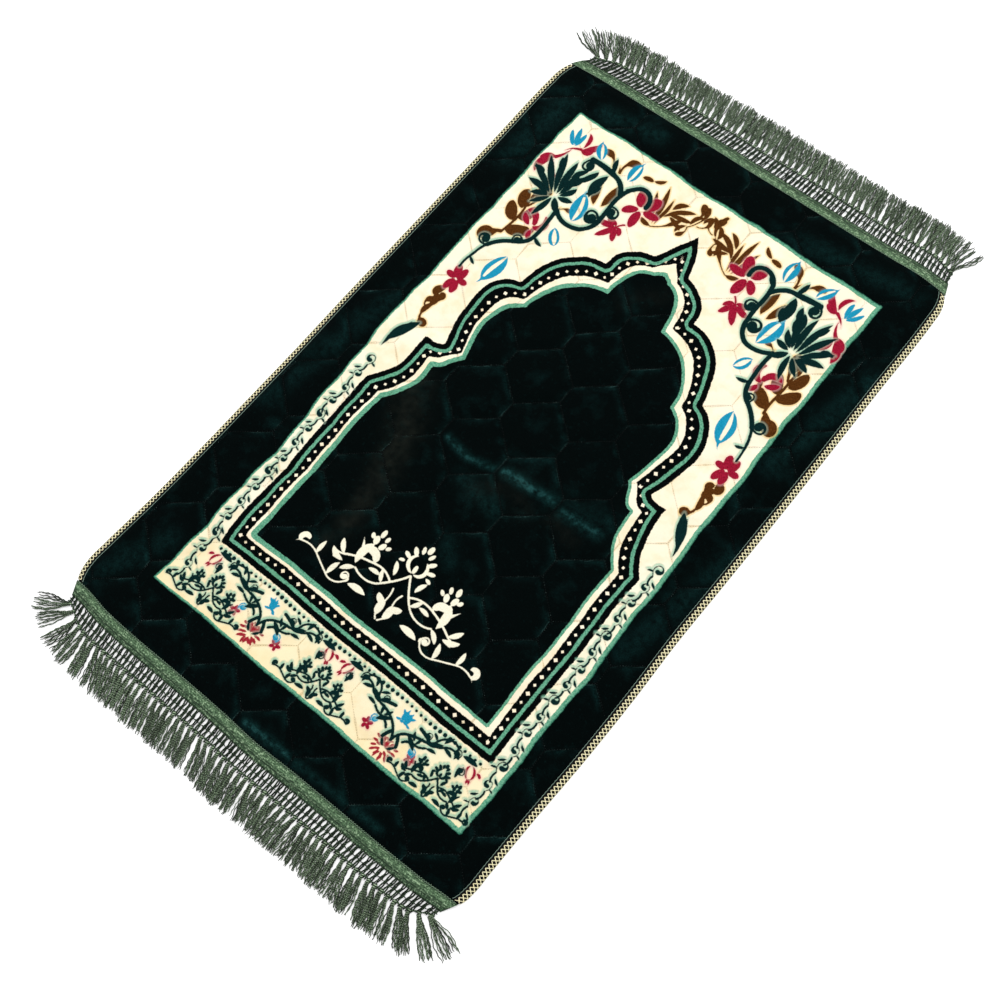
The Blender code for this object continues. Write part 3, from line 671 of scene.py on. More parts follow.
# A motif is drawn with brush strokes in its own unit: it stands on (0, 0) and points along
# +Y. Its strokes are listed by shape, and "paired" ones are mirrored too. Columns: start x, y,
# heading (degrees from +Y towards +X), length, turning, width; x, y, length and width are
# hundredths of the motif's size.
MOTIFS = {
    "leaf": {"leaf": ((0, 0, -14, 100, 32, 32),)},
    "comma": {"club": ((0, 0, 16, 95, -80, 34),), "tail": ((2, 0, 30, 30, 0, 12),)},
    "dash": {"petal": ((0, 0, 70, 50, 30, 24),), "leaf": ((0, 5, 262, 62, 56, 20),)},
    "open_leaf": {
        "leaf": ((0, 0, -38, 106, 76, 15), (0, 0, 30, 104, -58, 22)),
        "tail": ((0, 90, 10, 24, -40, 10),)},
    "ring": {"petal": ((0, 0, -40, 110, 90, 15), (0, 0, 56, 105, -100, 20))},
    "curl": {"bead": ((0, 0, -14, 150, 300, 22),)},
    "scroll": {"bead": ((0, 0, -34, 190, 330, 15.5),), "leaf": ((-8, 28, -80, 50, -40, 17),)},
    "bulb": {"petal": ((0, 0, -44, 136, 236, 52),), "tail": ((-2, 6, -70, 50, -40, 15),)},
    "tulip": {"leaf": ((0, 0, -4, 100, 8, 24),), "paired petal": ((5, 0, 30, 80, -20, 22),)},
    "blossom": {
        "petal": ((-2, 9, -8, 46, 14, 34), (11, 5, 64, 50, -24, 36), (-10, 3, -76, 46, 20, 27),
                  (-5, -9, 204, 52, 10, 29), (7, -8, 148, 42, 26, 25))},
    "double": {
        "paired petal": ((5, 4, 22, 52, -18, 34), (9, 0, 74, 38, 20, 28),
                         (5, -6, 160, 54, 16, 32))},
    "bell": {
        "petal": ((0, 0, -8, 90, 20, 30),),
        "paired petal": ((8, 10, 40, 58, 20, 26), (5, 0, 88, 42, -46, 20)),
        "stem": ((0, 0, 180, 28, 30, 8),)},
    "hood": {
        "leaf": ((0, 0, -30, 90, 70, 30), (5, 6, 22, 85, 84, 20)),
        "petal": ((0, 0, -80, 55, 96, 17),),
        "tail": ((0, 0, 160, 70, 40, 15),)},
    "rose": {
        "petal": ((-5, -5, -70, 90, 150, 30), (6, 0, 10, 80, 130, 28), (-2, 0, 20, 42, 80, 22)),
        "leaf": ((10, -14, 96, 60, -40, 24), (-12, -16, 200, 46, 60, 22))},
    "spray": {
        "leaf": ((-3, 0, -7, 86, 0, 10), (2, 0, 4, 110, 0, 14), (9, 2, 15, 86, 4, 13),
                 (-12, 30, -24, 78, -60, 14), (-16, 46, -46, 70, -44, 13),
                 (-20, 44, -80, 60, -14, 14), (-24, 40, -112, 48, -20, 13),
                 (-20, 60, -20, 46, -60, 13), (2, -6, 96, 34, -60, 13)),
        "club": ((-78, 56, -60, 50, 96, 19), (4, -8, -70, 74, 40, 13))},
    "frond": {
        "stem": ((0, 0, -6, 100, 16, 5),),
        "club": ((2, 84, 20, 34, -110, 22), (-3, 66, -34, 34, 50, 18), (0, 0, 110, 34, 50, 26)),
        "petal": ((4, 60, 40, 36, -40, 20), (-5, 40, -50, 32, 50, 20), (2, 30, 52, 36, -30, 22),
                  (-2, 10, -84, 36, 60, 24))},
    "garland": {
        "leaf": ((4, 2, 12, 44, -56, 15), (0, 34, -26, 40, 70, 20), (3, 66, 16, 42, -60, 15),
                 (6, 62, 50, 34, -90, 14)),
        "club": ((5, 26, 70, 34, -150, 17), (-4, 50, -70, 30, 120, 18),
                 (4, 6, 170, 30, 110, 22))},
    "acanthus": {
        "leaf": ((0, 0, -5, 104, 12, 18), (6, 0, 13, 114, 5, 18), (12, -2, 30, 104, 4, 18),
                 (16, -6, 48, 90, 8, 17), (18, -10, 66, 68, 16, 17), (15, -14, 88, 46, 30, 16),
                 (-6, 2, -25, 82, 28, 18), (-15, 32, -40, 50, 26, 17), (-14, 50, -4, 52, -36, 15),
                 (-9, 0, -56, 50, 36, 17), (-9, -6, -92, 40, 26, 16), (-4, -10, 206, 46, 30, 18),
                 (3, -12, 176, 70, -20, 16), (9, -13, 148, 52, -28, 15), (52, 36, 62, 34, 34, 14),
                 (30, 62, 2, 34, 30, 12))},
    "arabesque": {
        "club": ((0, 0, 16, 105, -74, 17), (12, 28, 62, 62, -120, 16), (0, 0, 112, 50, 84, 18)),
        "leaf": ((-2, 12, -52, 56, 90, 18), (12, 52, -44, 48, 76, 15),
                 (-4, 2, 196, 52, -64, 15))},
    "palmette": {
        "paired petal": ((3, 7, 92, 70, -150, 12), (11, 68, 24, 22, 0, 12),
                         (22, 52, 40, 27, 6, 14), (34, 36, 62, 24, 8, 13)),
        "petal": ((0, 8, 0, 24, 0, 13), (0, 80, 0, 22, 0, 17)),
        "paired leaf": ((40, 22, 90, 20, 30, 11),)},
    "bud": {
        "leaf": ((0, 0, -26, 78, 60, 24),),
        "petal": ((-6, 50, 40, 52, 110, 24), (4, 76, -14, 22, 0, 17), (22, 74, 22, 22, 0, 16),
                  (-10, 84, -34, 14, 0, 12), (6, 102, 0, 22, 0, 15), (24, 100, 18, 16, 0, 12),
                  (38, 86, 44, 15, 0, 11)),
        "tail": ((-14, 46, -34, 30, 0, 10),)},
    "calyx": {"leaf": ((0, 0, -22, 100, 56, 30), (-4, 26, -46, 34, 20, 12))},
    "base": {
        "paired leaf": ((8, 50, 84, 44, -40, 22),),
        "paired petal": ((14, 58, 160, 42, 40, 26),),
        "paired stem": ((22, 26, 204, 32, 20, 6), (20, 106, 208, 56, -50, 6))},
    "lily": {
        "paired leaf": ((0, 0, 56, 86, -104, 15), (30, 30, 70, 36, -56, 17),
                        (3, 66, 12, 30, -10, 12))},
    "fan": {
        "paired petal": ((2, -16, 36, 46, -40, 22), (34, 6, 72, 26, 0, 16),
                         (32, -14, 96, 30, 0, 16), (26, -32, 118, 32, 0, 16),
                         (16, -44, 138, 36, 0, 16), (8, 20, 60, 30, 0, 12)),
        "petal": ((0, -42, 180, 46, 0, 16),)},
    "rosette": {
        "petal": ((0, 6, 0, 46, 0, 40),),
        "paired petal": ((8, 3, 72, 46, 0, 40), (5, -6, 144, 46, 0, 38))},
    "bluebell": {
        "petal": ((0, -4, 0, 62, 0, 44),),
        "paired leaf": ((5, 30, 36, 48, 16, 20), (8, 0, 126, 40, -40, 20)),
        "leaf": ((0, 40, 0, 46, 0, 15),)},
    "dot": {"stem": ((0, 0, 0, 5, 0, 100),)},
}


def stroke_width(shape, t):
    """Share of a stroke's full width along it."""
    return {
        "leaf": np.sin(np.pi * np.clip(t, 0.02, 0.98)) ** 0.85,
        "petal": np.sin(np.pi * np.clip(t, 0.03, 0.97)) ** 0.5,
        "club": 0.28 + 0.72 * bell((t - 0.82) / 0.24),
        "bead": 0.62 + 1.6 * bell((t - 0.98) / 0.20),
        "tail": 0.12 + 0.88 * (1 - t) ** 1.1,
        "stem": np.ones_like(t),
    }[shape]


def stroke(x, y, heading, length, turning, width, shape):
    """Points and widths of a stroke: its heading changes steadily along it (a curl's turns
    faster towards its end), and the points are the sum of equal steps along the heading."""
    steps = max(6, int(length / 0.9))
    t = (np.arange(steps) + 0.5) / steps
    course = math.radians(heading) + math.radians(turning) * t ** (1.7 if shape == "bead" else 1)
    px = x + np.cumsum(np.sin(course)) * length / steps
    py = y + np.cumsum(np.cos(course)) * length / steps
    return px, py, width * stroke_width(shape, t)


def draw(motif, x, y, size, turn, flip=1):
    """Strokes of a motif at a place, size millimetres high, turned from +Y towards +X, and
    mirrored where flip is -1."""
    a = math.radians(turn)
    out = []
    for kind, rows in MOTIFS[motif].items():
        *pair, shape = kind.split()
        for sx, sy, heading, length, turning, width in rows:
            sx, sy, length, width = sx / 100, sy / 100, length / 100, width / 100
            for f in ((flip, -flip) if pair else (flip,)):
                lx, ly = sx * f * size, sy * size
                out.append(stroke(
                    x + lx * math.cos(a) + ly * math.sin(a),
                    y + ly * math.cos(a) - lx * math.sin(a),
                    turn + heading * f, length * size, turning * f, width * size, shape))
    return out


def vine(x, y, heading, pieces, side=1):
    """A stem of arcs that run on from each other. At a piece's end hangs a motif, leaning off
    the stem to its right, or mirrored and to its left where the lean is below 0."""
    out = []
    for length, turning, width, motif, size, lean in pieces:
        px, py, wide = stroke(x, y, heading, length, side * turning, width, "stem")
        out.append((px, py, wide))
        x, y, heading = px[-1], py[-1], heading + side * turning
        if motif:
            out += draw(motif, x, y, size, heading + side * lean, side if lean > 0 else -side)
    return out


# Where motifs stand in one half: motif, distance out from the middle line, y, size, turn
# (degrees from +Y outwards), mirrored, dye.
CORNER = (
    ("acanthus", 213, 328, 62, 4, 1, "dark"), ("leaf", 171, 400, 48, 178, 1, "dark"),
    ("leaf", 186, 396, 34, 158, -1, "dark"),
    ("leaf", 176, 352, 26, -28, 1, "dark"), ("leaf", 136, 396, 24, -44, 1, "dark"),
    ("tulip", 244, 413, 32, 16, 1, "blue"), ("hood", 230, 413, 38, -44, 1, "red"),
    ("hood", 252, 380, 44, 156, 1, "red"), ("open_leaf", 194, 414, 34, 32, 1, "blue"),
    ("open_leaf", 142, 410, 38, -4, 1, "blue"), ("comma", 160, 412, 38, -2, 1, "brown"),
    ("comma", 173, 414, 34, 26, -1, "brown"), ("dash", 110, 430, 34, 14, 1, "brown"),
    ("leaf", 145, 350, 44, 2, 1, "brown"), ("leaf", 155, 347, 38, 22, -1, "brown"),
    ("open_leaf", 164, 306, 52, 14, 1, "blue"), ("comma", 194, 308, 22, -40, 1, "brown"),
    ("blossom", 94, 386, 52, -22, 1, "red"), ("bell", 106, 342, 38, 158, -1, "red"),
    ("ring", 162, 260, 28, 28, 1, "blue"), ("rose", 208, 266, 38, -24, 1, "red"),
    ("frond", 238, 230, 86, 0, 1, "brown"), ("leaf", 212, 244, 24, -14, 1, "brown"),
    ("leaf", 242, 232, 32, 150, -1, "brown"), ("open_leaf", 203, 206, 54, 170, 1, "blue"),
    ("double", 243, 131, 38, 2, 1, "red"), ("garland", 244, 54, 60, 4, 1, "brown"),
    ("spray", 66, 374, 62, 6, 1, "brown"), ("arabesque", 26, 402, 44, -34, -1, "brown"),
)
# Stems of one half: distance out, y, heading, then pieces: length, turning, width, motif,
# its size and lean.
CORNER_VINES = (
    (194, 308, 226, ((44, 68, 7.4, "", 0, 0), (38, 64, 7.6, "curl", 31, 56),
                     (30, 6, 7.4, "curl", 27, -88), (36, -14, 7.4, "", 0, 0),
                     (60, -176, 7.6, "", 0, 0))),
    (134, 384, 30, ((40, 52, 8.4, "leaf", 26, -60), (40, 8, 9.0, "curl", 27, 54))),
    (194, 306, 186, ((52, -14, 6.8, "leaf", 20, 80), (34, -52, 7.2, "curl", 21, -100),
                     (36, 30, 7.2, "curl", 26, -48), (30, 20, 4.6, "leaf", 16, 70),
                     (24, 16, 3.8, "", 0, 0))),
)
# One half of the field's ivory motif, about its own foot on the middle line: motif, distance
# out, y, size, turn, mirrored.
FIELD_AT = -328
FIELD = (
    ("palmette", 0, 76, 48, 0, 1), ("base", 0, 2, 44, 0, 1), ("bud", 74, 40, 50, -2, -1),
    ("leaf", 20, 62, 22, 20, 1), ("calyx", 90, 34, 28, 74, -1), ("leaf", 62, 12, 30, -80, -1),
    ("leaf", 36, 50, 20, 96, 1),
)
FIELD_VINES = (
    (0, 76, 150, ((42, -18, 3.2, "leaf", 20, -96), (46, -66, 3.0, "leaf", 22, 64))),
    (18, 52, 52, ((36, 54, 3.2, "leaf", 20, -64), (46, 12, 3.2, "leaf", 24, -76),
                  (16, -50, 2.8, "", 0, 0))),
    (66, 16, 160, ((34, -96, 2.6, "leaf", 24, -70), (34, 0, 2.6, "leaf", 22, -56),
                   (28, 50, 2.6, "bulb", 17, -70))),
    (66, 14, 330, ((4, 40, 3.4, "curl", 17, 30),)),
)
# The foot panel's posies are the same motif, smaller and with bolder strokes.
POSY_AT, POSY_FOOT, POSY_SIZE, POSY_BOLD = (-193, 10, 217), -466, 0.42, 1.7
# One half of the foot panel's repeat, about its own middle.
REPEAT_AT = (-110, 136)
FOOT = (
    ("lily", 103, -392, 27, 156, 1, "red"), ("bluebell", 2, -406, 19, 4, 1, "blue"),
    ("curl", 36, -434, 16, 20, -1, "blue"), ("rosette", 38, -438, 14, 10, 1, "red"),
    ("fan", 3, -443, 25, 0, 1, "coral"), ("curl", 96, -402, 15, 120, 1, "dark"),
    ("leaf", 86, -392, 24, 84, 1, "dark"), ("leaf", 92, -404, 16, 160, 1, "dark"),
    ("leaf", 60, -396, 16, 20, 1, "dark"), ("leaf", 20, -404, 15, 150, -1, "dark"),
)
FOOT_VINES = (
    (0, -436, 8, ((26, 52, 4.2, "leaf", 22, 60), (26, 26, 4.2, "leaf", 24, -20),
                  (16, -70, 3.6, "leaf", 14, -70), (34, 110, 3.6, "leaf", 15, 40))),
    (14, -428, 30, ((18, 60, 4.0, "leaf", 15, -70), (16, -40, 3.6, "leaf", 16, 30))),
    (22, -398, 98, ((20, 16, 5.2, "curl", 14, -110), (22, -70, 3.6, "leaf", 17, 60),
                    (26, 88, 3.6, "curl", 16, -130))),
    (4, -424, 140, ((16, 20, 5.2, "leaf", 14, 60),)),
)


# The curls of the narrow side borders: distance out, from y, to y, pitch. The dots over the
# foot panel: from x, to x, pitch, y, size.
CURL_OUT, CURL_TOP, CURL_END, CURL_PITCH = 258.5, -52, -456, 27.5
DOT_FROM, DOT_TO, DOT_PITCH, DOT_Y, DOT_SIZE = -224, 252, 8.4, -385.5, 5.2


def side_vines(side):
    """The narrow border beside the arch: a long leaf, then curls one above the other, turned
    to either side in turn, each with a leaf at its foot and joined by a thin stem."""
    out = []
    for u, y, heading, length, turning, width in (
            (238, 46, 148, 54, 18, 15), (248, 42, 162, 60, 10, 7)):
        out.append(stroke(arch_middle(y) + side * u, y, side * heading, length, side * turning,
                          width, "leaf"))
    for k, y in enumerate(np.arange(CURL_TOP, CURL_END, -CURL_PITCH)):
        f = side * (1 if k % 2 else -1)
        x = arch_middle(y) + side * CURL_OUT
        size = 17.0 if k % 4 else 20.0
        out += draw("scroll", x + 1.5 * f, y, size, 6 * f, -f)
        out.append(stroke(x + 1.5 * f, y, 180 - 24 * f, 15, 60 * f, 3.2, "stem"))
        out += draw("leaf", x - 2 * f, y - 6, 12, -130 * f, f)
    return out


def every_stroke():
    """All strokes with their dyes: both halves of the corners, field and side borders, the
    foot panel's repeats, its posies and its row of dots. Places waver by a millimetre."""
    chance = np.random.default_rng(5)
    out = []

    def grow(rows, vines, at, foot, side, dye, scale=1.0, bold=0.0):
        """One half of a design: at is its middle, or None for the arch's middle line."""
        made = []
        for motif, u, y, size, turn, flip, *own in rows:
            j = chance.uniform(-1, 1, 4) * (1.2, 1.2, 0.03, 3.0) * (u != 0)
            middle = arch_middle(y + foot) if at is None else at
            if u or side == 1:
                made.append((draw(motif, middle + side * scale * (u + j[0]),
                                  foot + scale * (y + j[1]), scale * size * (1 + j[2]),
                                  side * turn + j[3], side * flip), own[0] if own else dye))
        for u, y, heading, pieces in vines:
            middle = arch_middle(y + foot) if at is None else at
            pieces = [(length * scale, turning, width * scale, motif, size * scale, lean)
                      for length, turning, width, motif, size, lean in pieces]
            made.append((vine(middle + side * scale * u, foot + scale * y, side * heading, pieces,
                              side), dye))
        out.extend(((px, py, width + bold * (width > 0.6)), name)
                   for strokes, name in made for px, py, width in strokes)

    for side in (-1, 1):
        grow(CORNER, CORNER_VINES, None, 0, side, "dark")
        grow(FIELD, FIELD_VINES, None, FIELD_AT, side, "pale")
        out.extend((one, "dark") for one in side_vines(side))
        for at in POSY_AT:
            grow(FIELD, FIELD_VINES, at, POSY_FOOT, side, "dark", POSY_SIZE, POSY_BOLD)
        for at in REPEAT_AT:
            grow(FOOT, FOOT_VINES, at, 0, side, "dark")
    for k, x in enumerate(np.arange(DOT_FROM, DOT_TO, DOT_PITCH)):
        size = DOT_SIZE + math.sin(k * 0.55)
        out.extend((one, "dark") for one in draw("dot", x, DOT_Y, size, 0))
    return out


# The canvas and its grain; how far past a stroke its distance is known, and how far the
# flowers' cells reach; and the points that are painted at once.
CANVAS_X, CANVAS_Y = (-292, 300), (-484, 476)
GRAIN, HALO, HALO_KEPT, STROKE_PART = 1.25, 6.0, 2.6, 14
DYES = ("dark", "mint", "red", "coral", "blue", "brown", "pale")
# A dark stroke has a mint shade beside it: how far it is moved and how much wider it is.
SHADE_X, SHADE_Y, SHADE_MORE = -2.2, 1.8, 3.0
# How the cells lie on the plush: just under it round their border, and proud of it inside.
SUNK, HALO_RISE, TUFT_RISE = -0.15, 0.35, 0.3
# Where the flowers are cut into pieces: the corners above this y, and apart at this x; the
# field within this much of its middle line and above this y.
CORNERS_FROM, CORNERS_PART, FIELD_MIDDLE, FIELD_HALF, FIELD_FROM = -30, 10, 12, 205, -365


def paint_strokes(strokes):
    """Distance inside the strokes of each dye on a grid: the most that any disc of a stroke
    reaches past a point, no less than -HALO."""
    xs, ys = np.arange(*CANVAS_X, GRAIN), np.arange(*CANVAS_Y, GRAIN)
    layers = {name: np.full((len(ys), len(xs)), -HALO) for name in DYES}
    todo = [(px, py, width, name) for (px, py, width), name in strokes]
    todo += [(px + SHADE_X, py + SHADE_Y, width + SHADE_MORE, "mint")
             for (px, py, width), name in strokes if name == "dark"]
    for px, py, width, name in todo:
        px, py = quilt_drift(px, py)
        for first in range(0, len(px), STROKE_PART):
            part = slice(first, first + STROKE_PART + 1)
            cx, cy, radius = px[part], py[part], width[part] / 2
            reach = radius.max() + HALO
            left, right = np.searchsorted(xs, (cx.min() - reach, cx.max() + reach))
            low, high = np.searchsorted(ys, (cy.min() - reach, cy.max() + reach))
            away = np.hypot(xs[None, left:right, None] - cx, ys[low:high, None, None] - cy)
            window = layers[name][low:high, left:right]
            if window.size:
                np.maximum(window, (radius - away).max(axis=-1), out=window)
    return xs, ys, layers


def dyed_flowers(dyer, colour, relief):
    """The flowers' dyes over the ground: each is clear inside its strokes, and most stain the
    pile beside them."""
    shake = (dyer.mottle(2.4) - 0.5) * 1.3 + (dyer.mottle(0.9) - 0.5) * 0.6
    grain = dyer.mottle(1.3, 3.0)
    carved = 0.0
    for name, stain, stained, deep, light in (
            ("mint", 0.0, None, dye(66, 140, 112), dye(150, 204, 176)),
            ("brown", 0.66, dye(232, 190, 108), dye(48, 22, 1), dye(100, 58, 22)),
            ("red", 0.42, dye(236, 168, 170), dye(100, 3, 20), dye(178, 32, 62)),
            ("coral", 0.30, dye(246, 200, 170), dye(128, 14, 30), dye(172, 52, 60)),
            ("blue", 0.14, dye(190, 222, 226), dye(4, 116, 148), dye(40, 158, 192)),
            ("dark", 0.30, dye(190, 216, 190), dye(2, 20, 21), dye(9, 44, 43)),
            ("pale", 0.0, None, dye(226, 220, 192), dye(250, 246, 226))):
        depth = dyer.field(name) + shake
        if stained:
            colour = dyer.mix(depth.ramp(-3.4, -0.2) * stain, colour, stained)
        tuft = dyer.mix(grain.ramp(0.3, 0.72), deep, light)
        # The mint shade fades out; every other dye ends sharply.
        covered = depth.ramp(-0.8, 3.0) * 0.85 if name == "mint" else depth.ramp(-0.3, 0.5)
        colour = dyer.mix(covered, colour, tuft)
        carved = depth.ramp(-0.8, 0.8).most(carved)
    return colour, relief + carved * 0.5


flower_plush = plush_dyer("flowered_pile")
flower_plush.finish(*dyed_flowers(flower_plush, *plush_ground(flower_plush)), NAP)

canvas_x, canvas_y, painted = paint_strokes(every_stroke())
strongest = np.max(list(painted.values()), axis=0)
near = strongest > -HALO_KEPT
kept_cell = near[:-1, :-1] | near[1:, :-1] | near[:-1, 1:] | near[1:, 1:]
canvas_at = np.arange(near.size).reshape(near.shape)
canvas_wide = near.shape[1]
upper = (canvas_y > CORNERS_FROM)[:-1, None]
east = (canvas_x >= CORNERS_PART)[None, :-1]
inner = ((np.abs(canvas_x - FIELD_MIDDLE) <= FIELD_HALF)[None, :-1]
         & (canvas_y >= FIELD_FROM)[:-1, None])
for name, zone in {
        "flowers_corner_left": upper & ~east, "flowers_corner_right": upper & east,
        "flowers_border": ~upper & ~inner, "flowers_field": ~upper & inner}.items():
    corner = canvas_at[:-1, :-1][kept_cell & zone]
    cells = np.stack((corner, corner + 1, corner + 1 + canvas_wide, corner + canvas_wide),
                     axis=-1)
    used, faces = np.unique(cells, return_inverse=True)
    px, py = canvas_x[used % canvas_wide], canvas_y[used // canvas_wide]
    depth = strongest.ravel()[used]
    proud = SUNK + HALO_RISE * ease((depth + HALO_KEPT + 0.2) / 1.4)
    proud = proud + TUFT_RISE * ease((depth + 0.6) / 1.6)
    fields = pattern_fields(px, py)
    fields.update({dye_name: layer.ravel()[used] for dye_name, layer in painted.items()})
    piece = make_piece(name, np.stack((px, py, pile_height(px, py) + proud), axis=-1),
                       [faces.reshape(cells.shape)], fields, materials=(flower_plush.material,))
    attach(piece, "root")

# ---------------------------------------------------------------------------------------
# The quilting thread: a line of short stitches along every side of the cells. Each is pulled
# down into the pile at both ends, so that mostly its middle shows, as a pale speck.

STITCH_PITCH, STITCH_SHARE, STITCH_THICK = 3.5, 0.34, 0.42
# A stitch's ends, the top of its middle and its underside, over the plush.
ENDS_AT, TOP_AT, UNDER_AT = -0.45, 0.34, -0.40
# How far the stitches keep from the long edges and from the short ends.
KEEP_SIDE, KEEP_END = 16, 6
CELL_ROWS, CELL_COLUMNS = range(-8, 8), range(-5, 6)
SEAM_ROUNDS = 4


def along_seam(x, y):
    """Where a point of the even cell pattern lies on the rug: the place whose seam_distance
    wander takes it back to that point."""
    px, py = x, y
    for _ in range(SEAM_ROUNDS):
        stray_x, stray_y = wander(px, py)
        px, py = x + stray_x, y + stray_y
    return px, py


def stitch_ends():
    """Both ends of every stitch. A cell owns the side to its right and the two above it, and
    a side holds as many stitches as fit it at the pitch."""
    half, rise = CELL_X / 2, CELL_SIDE / 2
    sides = ((half, -rise, half, rise), (half, rise, 0, CELL_Y - rise),
             (0, CELL_Y - rise, -half, rise))
    starts, ends = [], []
    for row in CELL_ROWS:
        for column in CELL_COLUMNS:
            at = np.array((SEAM_X + CELL_X * column + half * (row % 2),
                           ROW_Y + CELL_Y * (row - 1)))
            for x0, y0, x1, y1 in sides:
                count = round(math.hypot(x1 - x0, y1 - y0) / STITCH_PITCH)
                middle = (np.arange(count) + 0.5)[:, None]
                side_start, run = at + (x0, y0), np.array((x1 - x0, y1 - y0)) / count
                starts.append(side_start + run * (middle - STITCH_SHARE))
                ends.append(side_start + run * (middle + STITCH_SHARE))
    return (np.stack(along_seam(*np.concatenate(group).T), axis=-1) for group in (starts, ends))


def stitch_shapes():
    """Points and faces of the stitches on the plush: spindles of four sides whose ends are
    sunk in the pile."""
    start, end = stitch_ends()
    x, y = (start + end).T / 2
    from_side, from_end = from_edges(x, y)
    on_rug = (from_side > KEEP_SIDE) & (from_end > KEEP_END)
    start, end, x, y = start[on_rug], end[on_rug], x[on_rug], y[on_rug]
    run = (end - start) / np.linalg.norm(end - start, axis=1, keepdims=True)
    cross = np.stack((-run[:, 1], run[:, 0]), axis=-1) * STITCH_THICK
    middle = (start + end) / 2
    flat = np.stack((start, end, middle, middle + cross, middle, middle - cross), axis=1)
    height = pile_height(x, y)[:, None] + (ENDS_AT, ENDS_AT, TOP_AT, 0, UNDER_AT, 0)
    points = np.concatenate((flat, height[:, :, None]), axis=-1)
    corners = np.array([(0, 3, 2), (0, 4, 3), (0, 5, 4), (0, 2, 5),
                        (1, 2, 3), (1, 3, 4), (1, 4, 5), (1, 5, 2)])[:, ::-1]
    faces = corners[None] + 6 * np.arange(len(x))[:, None, None]
    return points.reshape(-1, 3), faces.reshape(-1, 3)


thread = Dyer("quilting_thread", 0.5, specular=0.3)
thread.finish(thread.mix(thread.mottle(5.0, 2.0).ramp(0.56, 0.72), dye(2, 10, 10),
                         dye(96, 118, 114)))
stitch_points, stitch_faces = stitch_shapes()
quilting = make_piece("quilting_thread", stitch_points, [stitch_faces],
                      materials=(thread.material,))
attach(quilting, "root")

# ---------------------------------------------------------------------------------------
# The braid: a flat woven band folded round each long edge and stitched down. Cream-gold
# strands cross in a lattice over black, with a plain black strip and a pale selvedge inboard.

BRAID_SECTION = (
    (8.5, 0.0), (6.0, 0.0), (3.5, 0.0), (1.6, 0.05), (0.7, 0.5), (0.2, 1.6), (0.0, 3.0),
    (0.05, 4.4), (0.35, 5.7), (1.1, 6.8), (2.2, 7.6), (3.4, 8.0), (4.6, 8.3), (5.8, 8.5),
    (7.0, 8.65), (8.2, 8.8), (9.3, 8.9), (10.3, 9.0), (11.1, 9.0), (11.6, 8.8), (11.7, 8.2),
    (11.4, 7.7), (2.85, 6.3), (1.3, 4.75), (1.3, 1.3), (8.5, 1.3),
)
BRAID_STEP, BRAID_PITCH = 1.5, 6.0
# The section's point on the inner lip, from which the band's width is counted, and the width
# of the black strip and selvedge.
BRAID_LIP, BLACK_STRIP = 19, 3.4
# A first guess at the y of the plush's ends, and how far the weave waves and lifts the band.
FIRST_Y, WAVE, LIFT = (-545, 525), 0.35, 0.12


def braid_points(right):
    """The band's section carried along a long edge, row by row. Its inner edge waves with
    the pitch of the weave, and its rows follow the slant of the plush's ends."""
    section = np.array(BRAID_SECTION)
    rows = int(PLUSH_LONG / BRAID_STEP)
    share = np.linspace(0, 1, rows)[:, None]
    x = np.tile(rug_edge(np.linspace(*FIRST_Y, rows), right)[:, None], (1, len(section)))
    for _ in range(ROUNDS):
        foot, arch = plush_end(x, -1) - BRAID_END, plush_end(x, 1) + BRAID_END
        y = foot + (arch - foot) * share
        edge = rug_edge(y[:, :1], right)
        wave = WAVE * np.cos(TURN * y[:, :1] / BRAID_PITCH)
        inner = section[:, 0] + wave * ease((section[:, 0] - 9) / 3)
        x = edge - inner if right else edge + inner
    lift = LIFT * np.sin(TURN * y / BRAID_PITCH) * ease((section[:, 0] - 2) / 3)
    return x, y, section[:, 1] + lift * (section[:, 1] > 7)


def tube_faces(rows, count):
    """Quads of a closed section of count points carried through rows, and its two ends."""
    r = np.arange(rows - 1)[:, None] * count
    c = np.arange(count)
    d = (c + 1) % count
    quads = np.stack((r + c, r + d, r + d + count, r + c + count), axis=-1).reshape(-1, 4)
    return quads, np.arange(count)[::-1], (rows - 1) * count + np.arange(count)


def braid_material():
    """Lattice of cream strands: two sets of slanting stripes on the band's own width and
    length, black diamonds between them, and fine ticks of weave."""
    dyer = Dyer("woven_braid", 0.7, specular=0.12)
    inboard, along = dyer.on_cloth()
    across = inboard - BLACK_STRIP
    falling = abs((along / BRAID_PITCH + across * 0.125) % 1.0 - 0.5) * 2
    rising = abs((along / BRAID_PITCH - across * 0.125) % 1.0 - 0.5) * 2
    strand = falling.most(rising) + (dyer.mottle(0.8) - 0.5) * 0.2
    cream = strand.ramp(0.74, 0.80) * across.ramp(-0.3, 0.2)
    selvedge = 1 - inboard.ramp(0.45, 0.9)
    ticks = (along * 7.0 + across * 5.0).wave()
    gold = dyer.mix(ticks, dye(250, 236, 178), dye(255, 253, 218))
    gold = dyer.mix(dyer.mottle(5.0).ramp(0.5, 0.8) * 0.3, gold, dye(222, 198, 116))
    colour = dyer.mix(cream, dye(1, 2, 1), gold)
    colour = dyer.mix(selvedge * 0.85, colour, dye(150, 176, 160))
    relief = cream * 0.7 + ticks * 0.25 + selvedge * 0.4
    return dyer.finish(colour, relief, 0.8)


braid_weave = braid_material()
section_reach = np.concatenate(([0], np.cumsum(np.hypot(*np.diff(BRAID_SECTION, axis=0).T))))
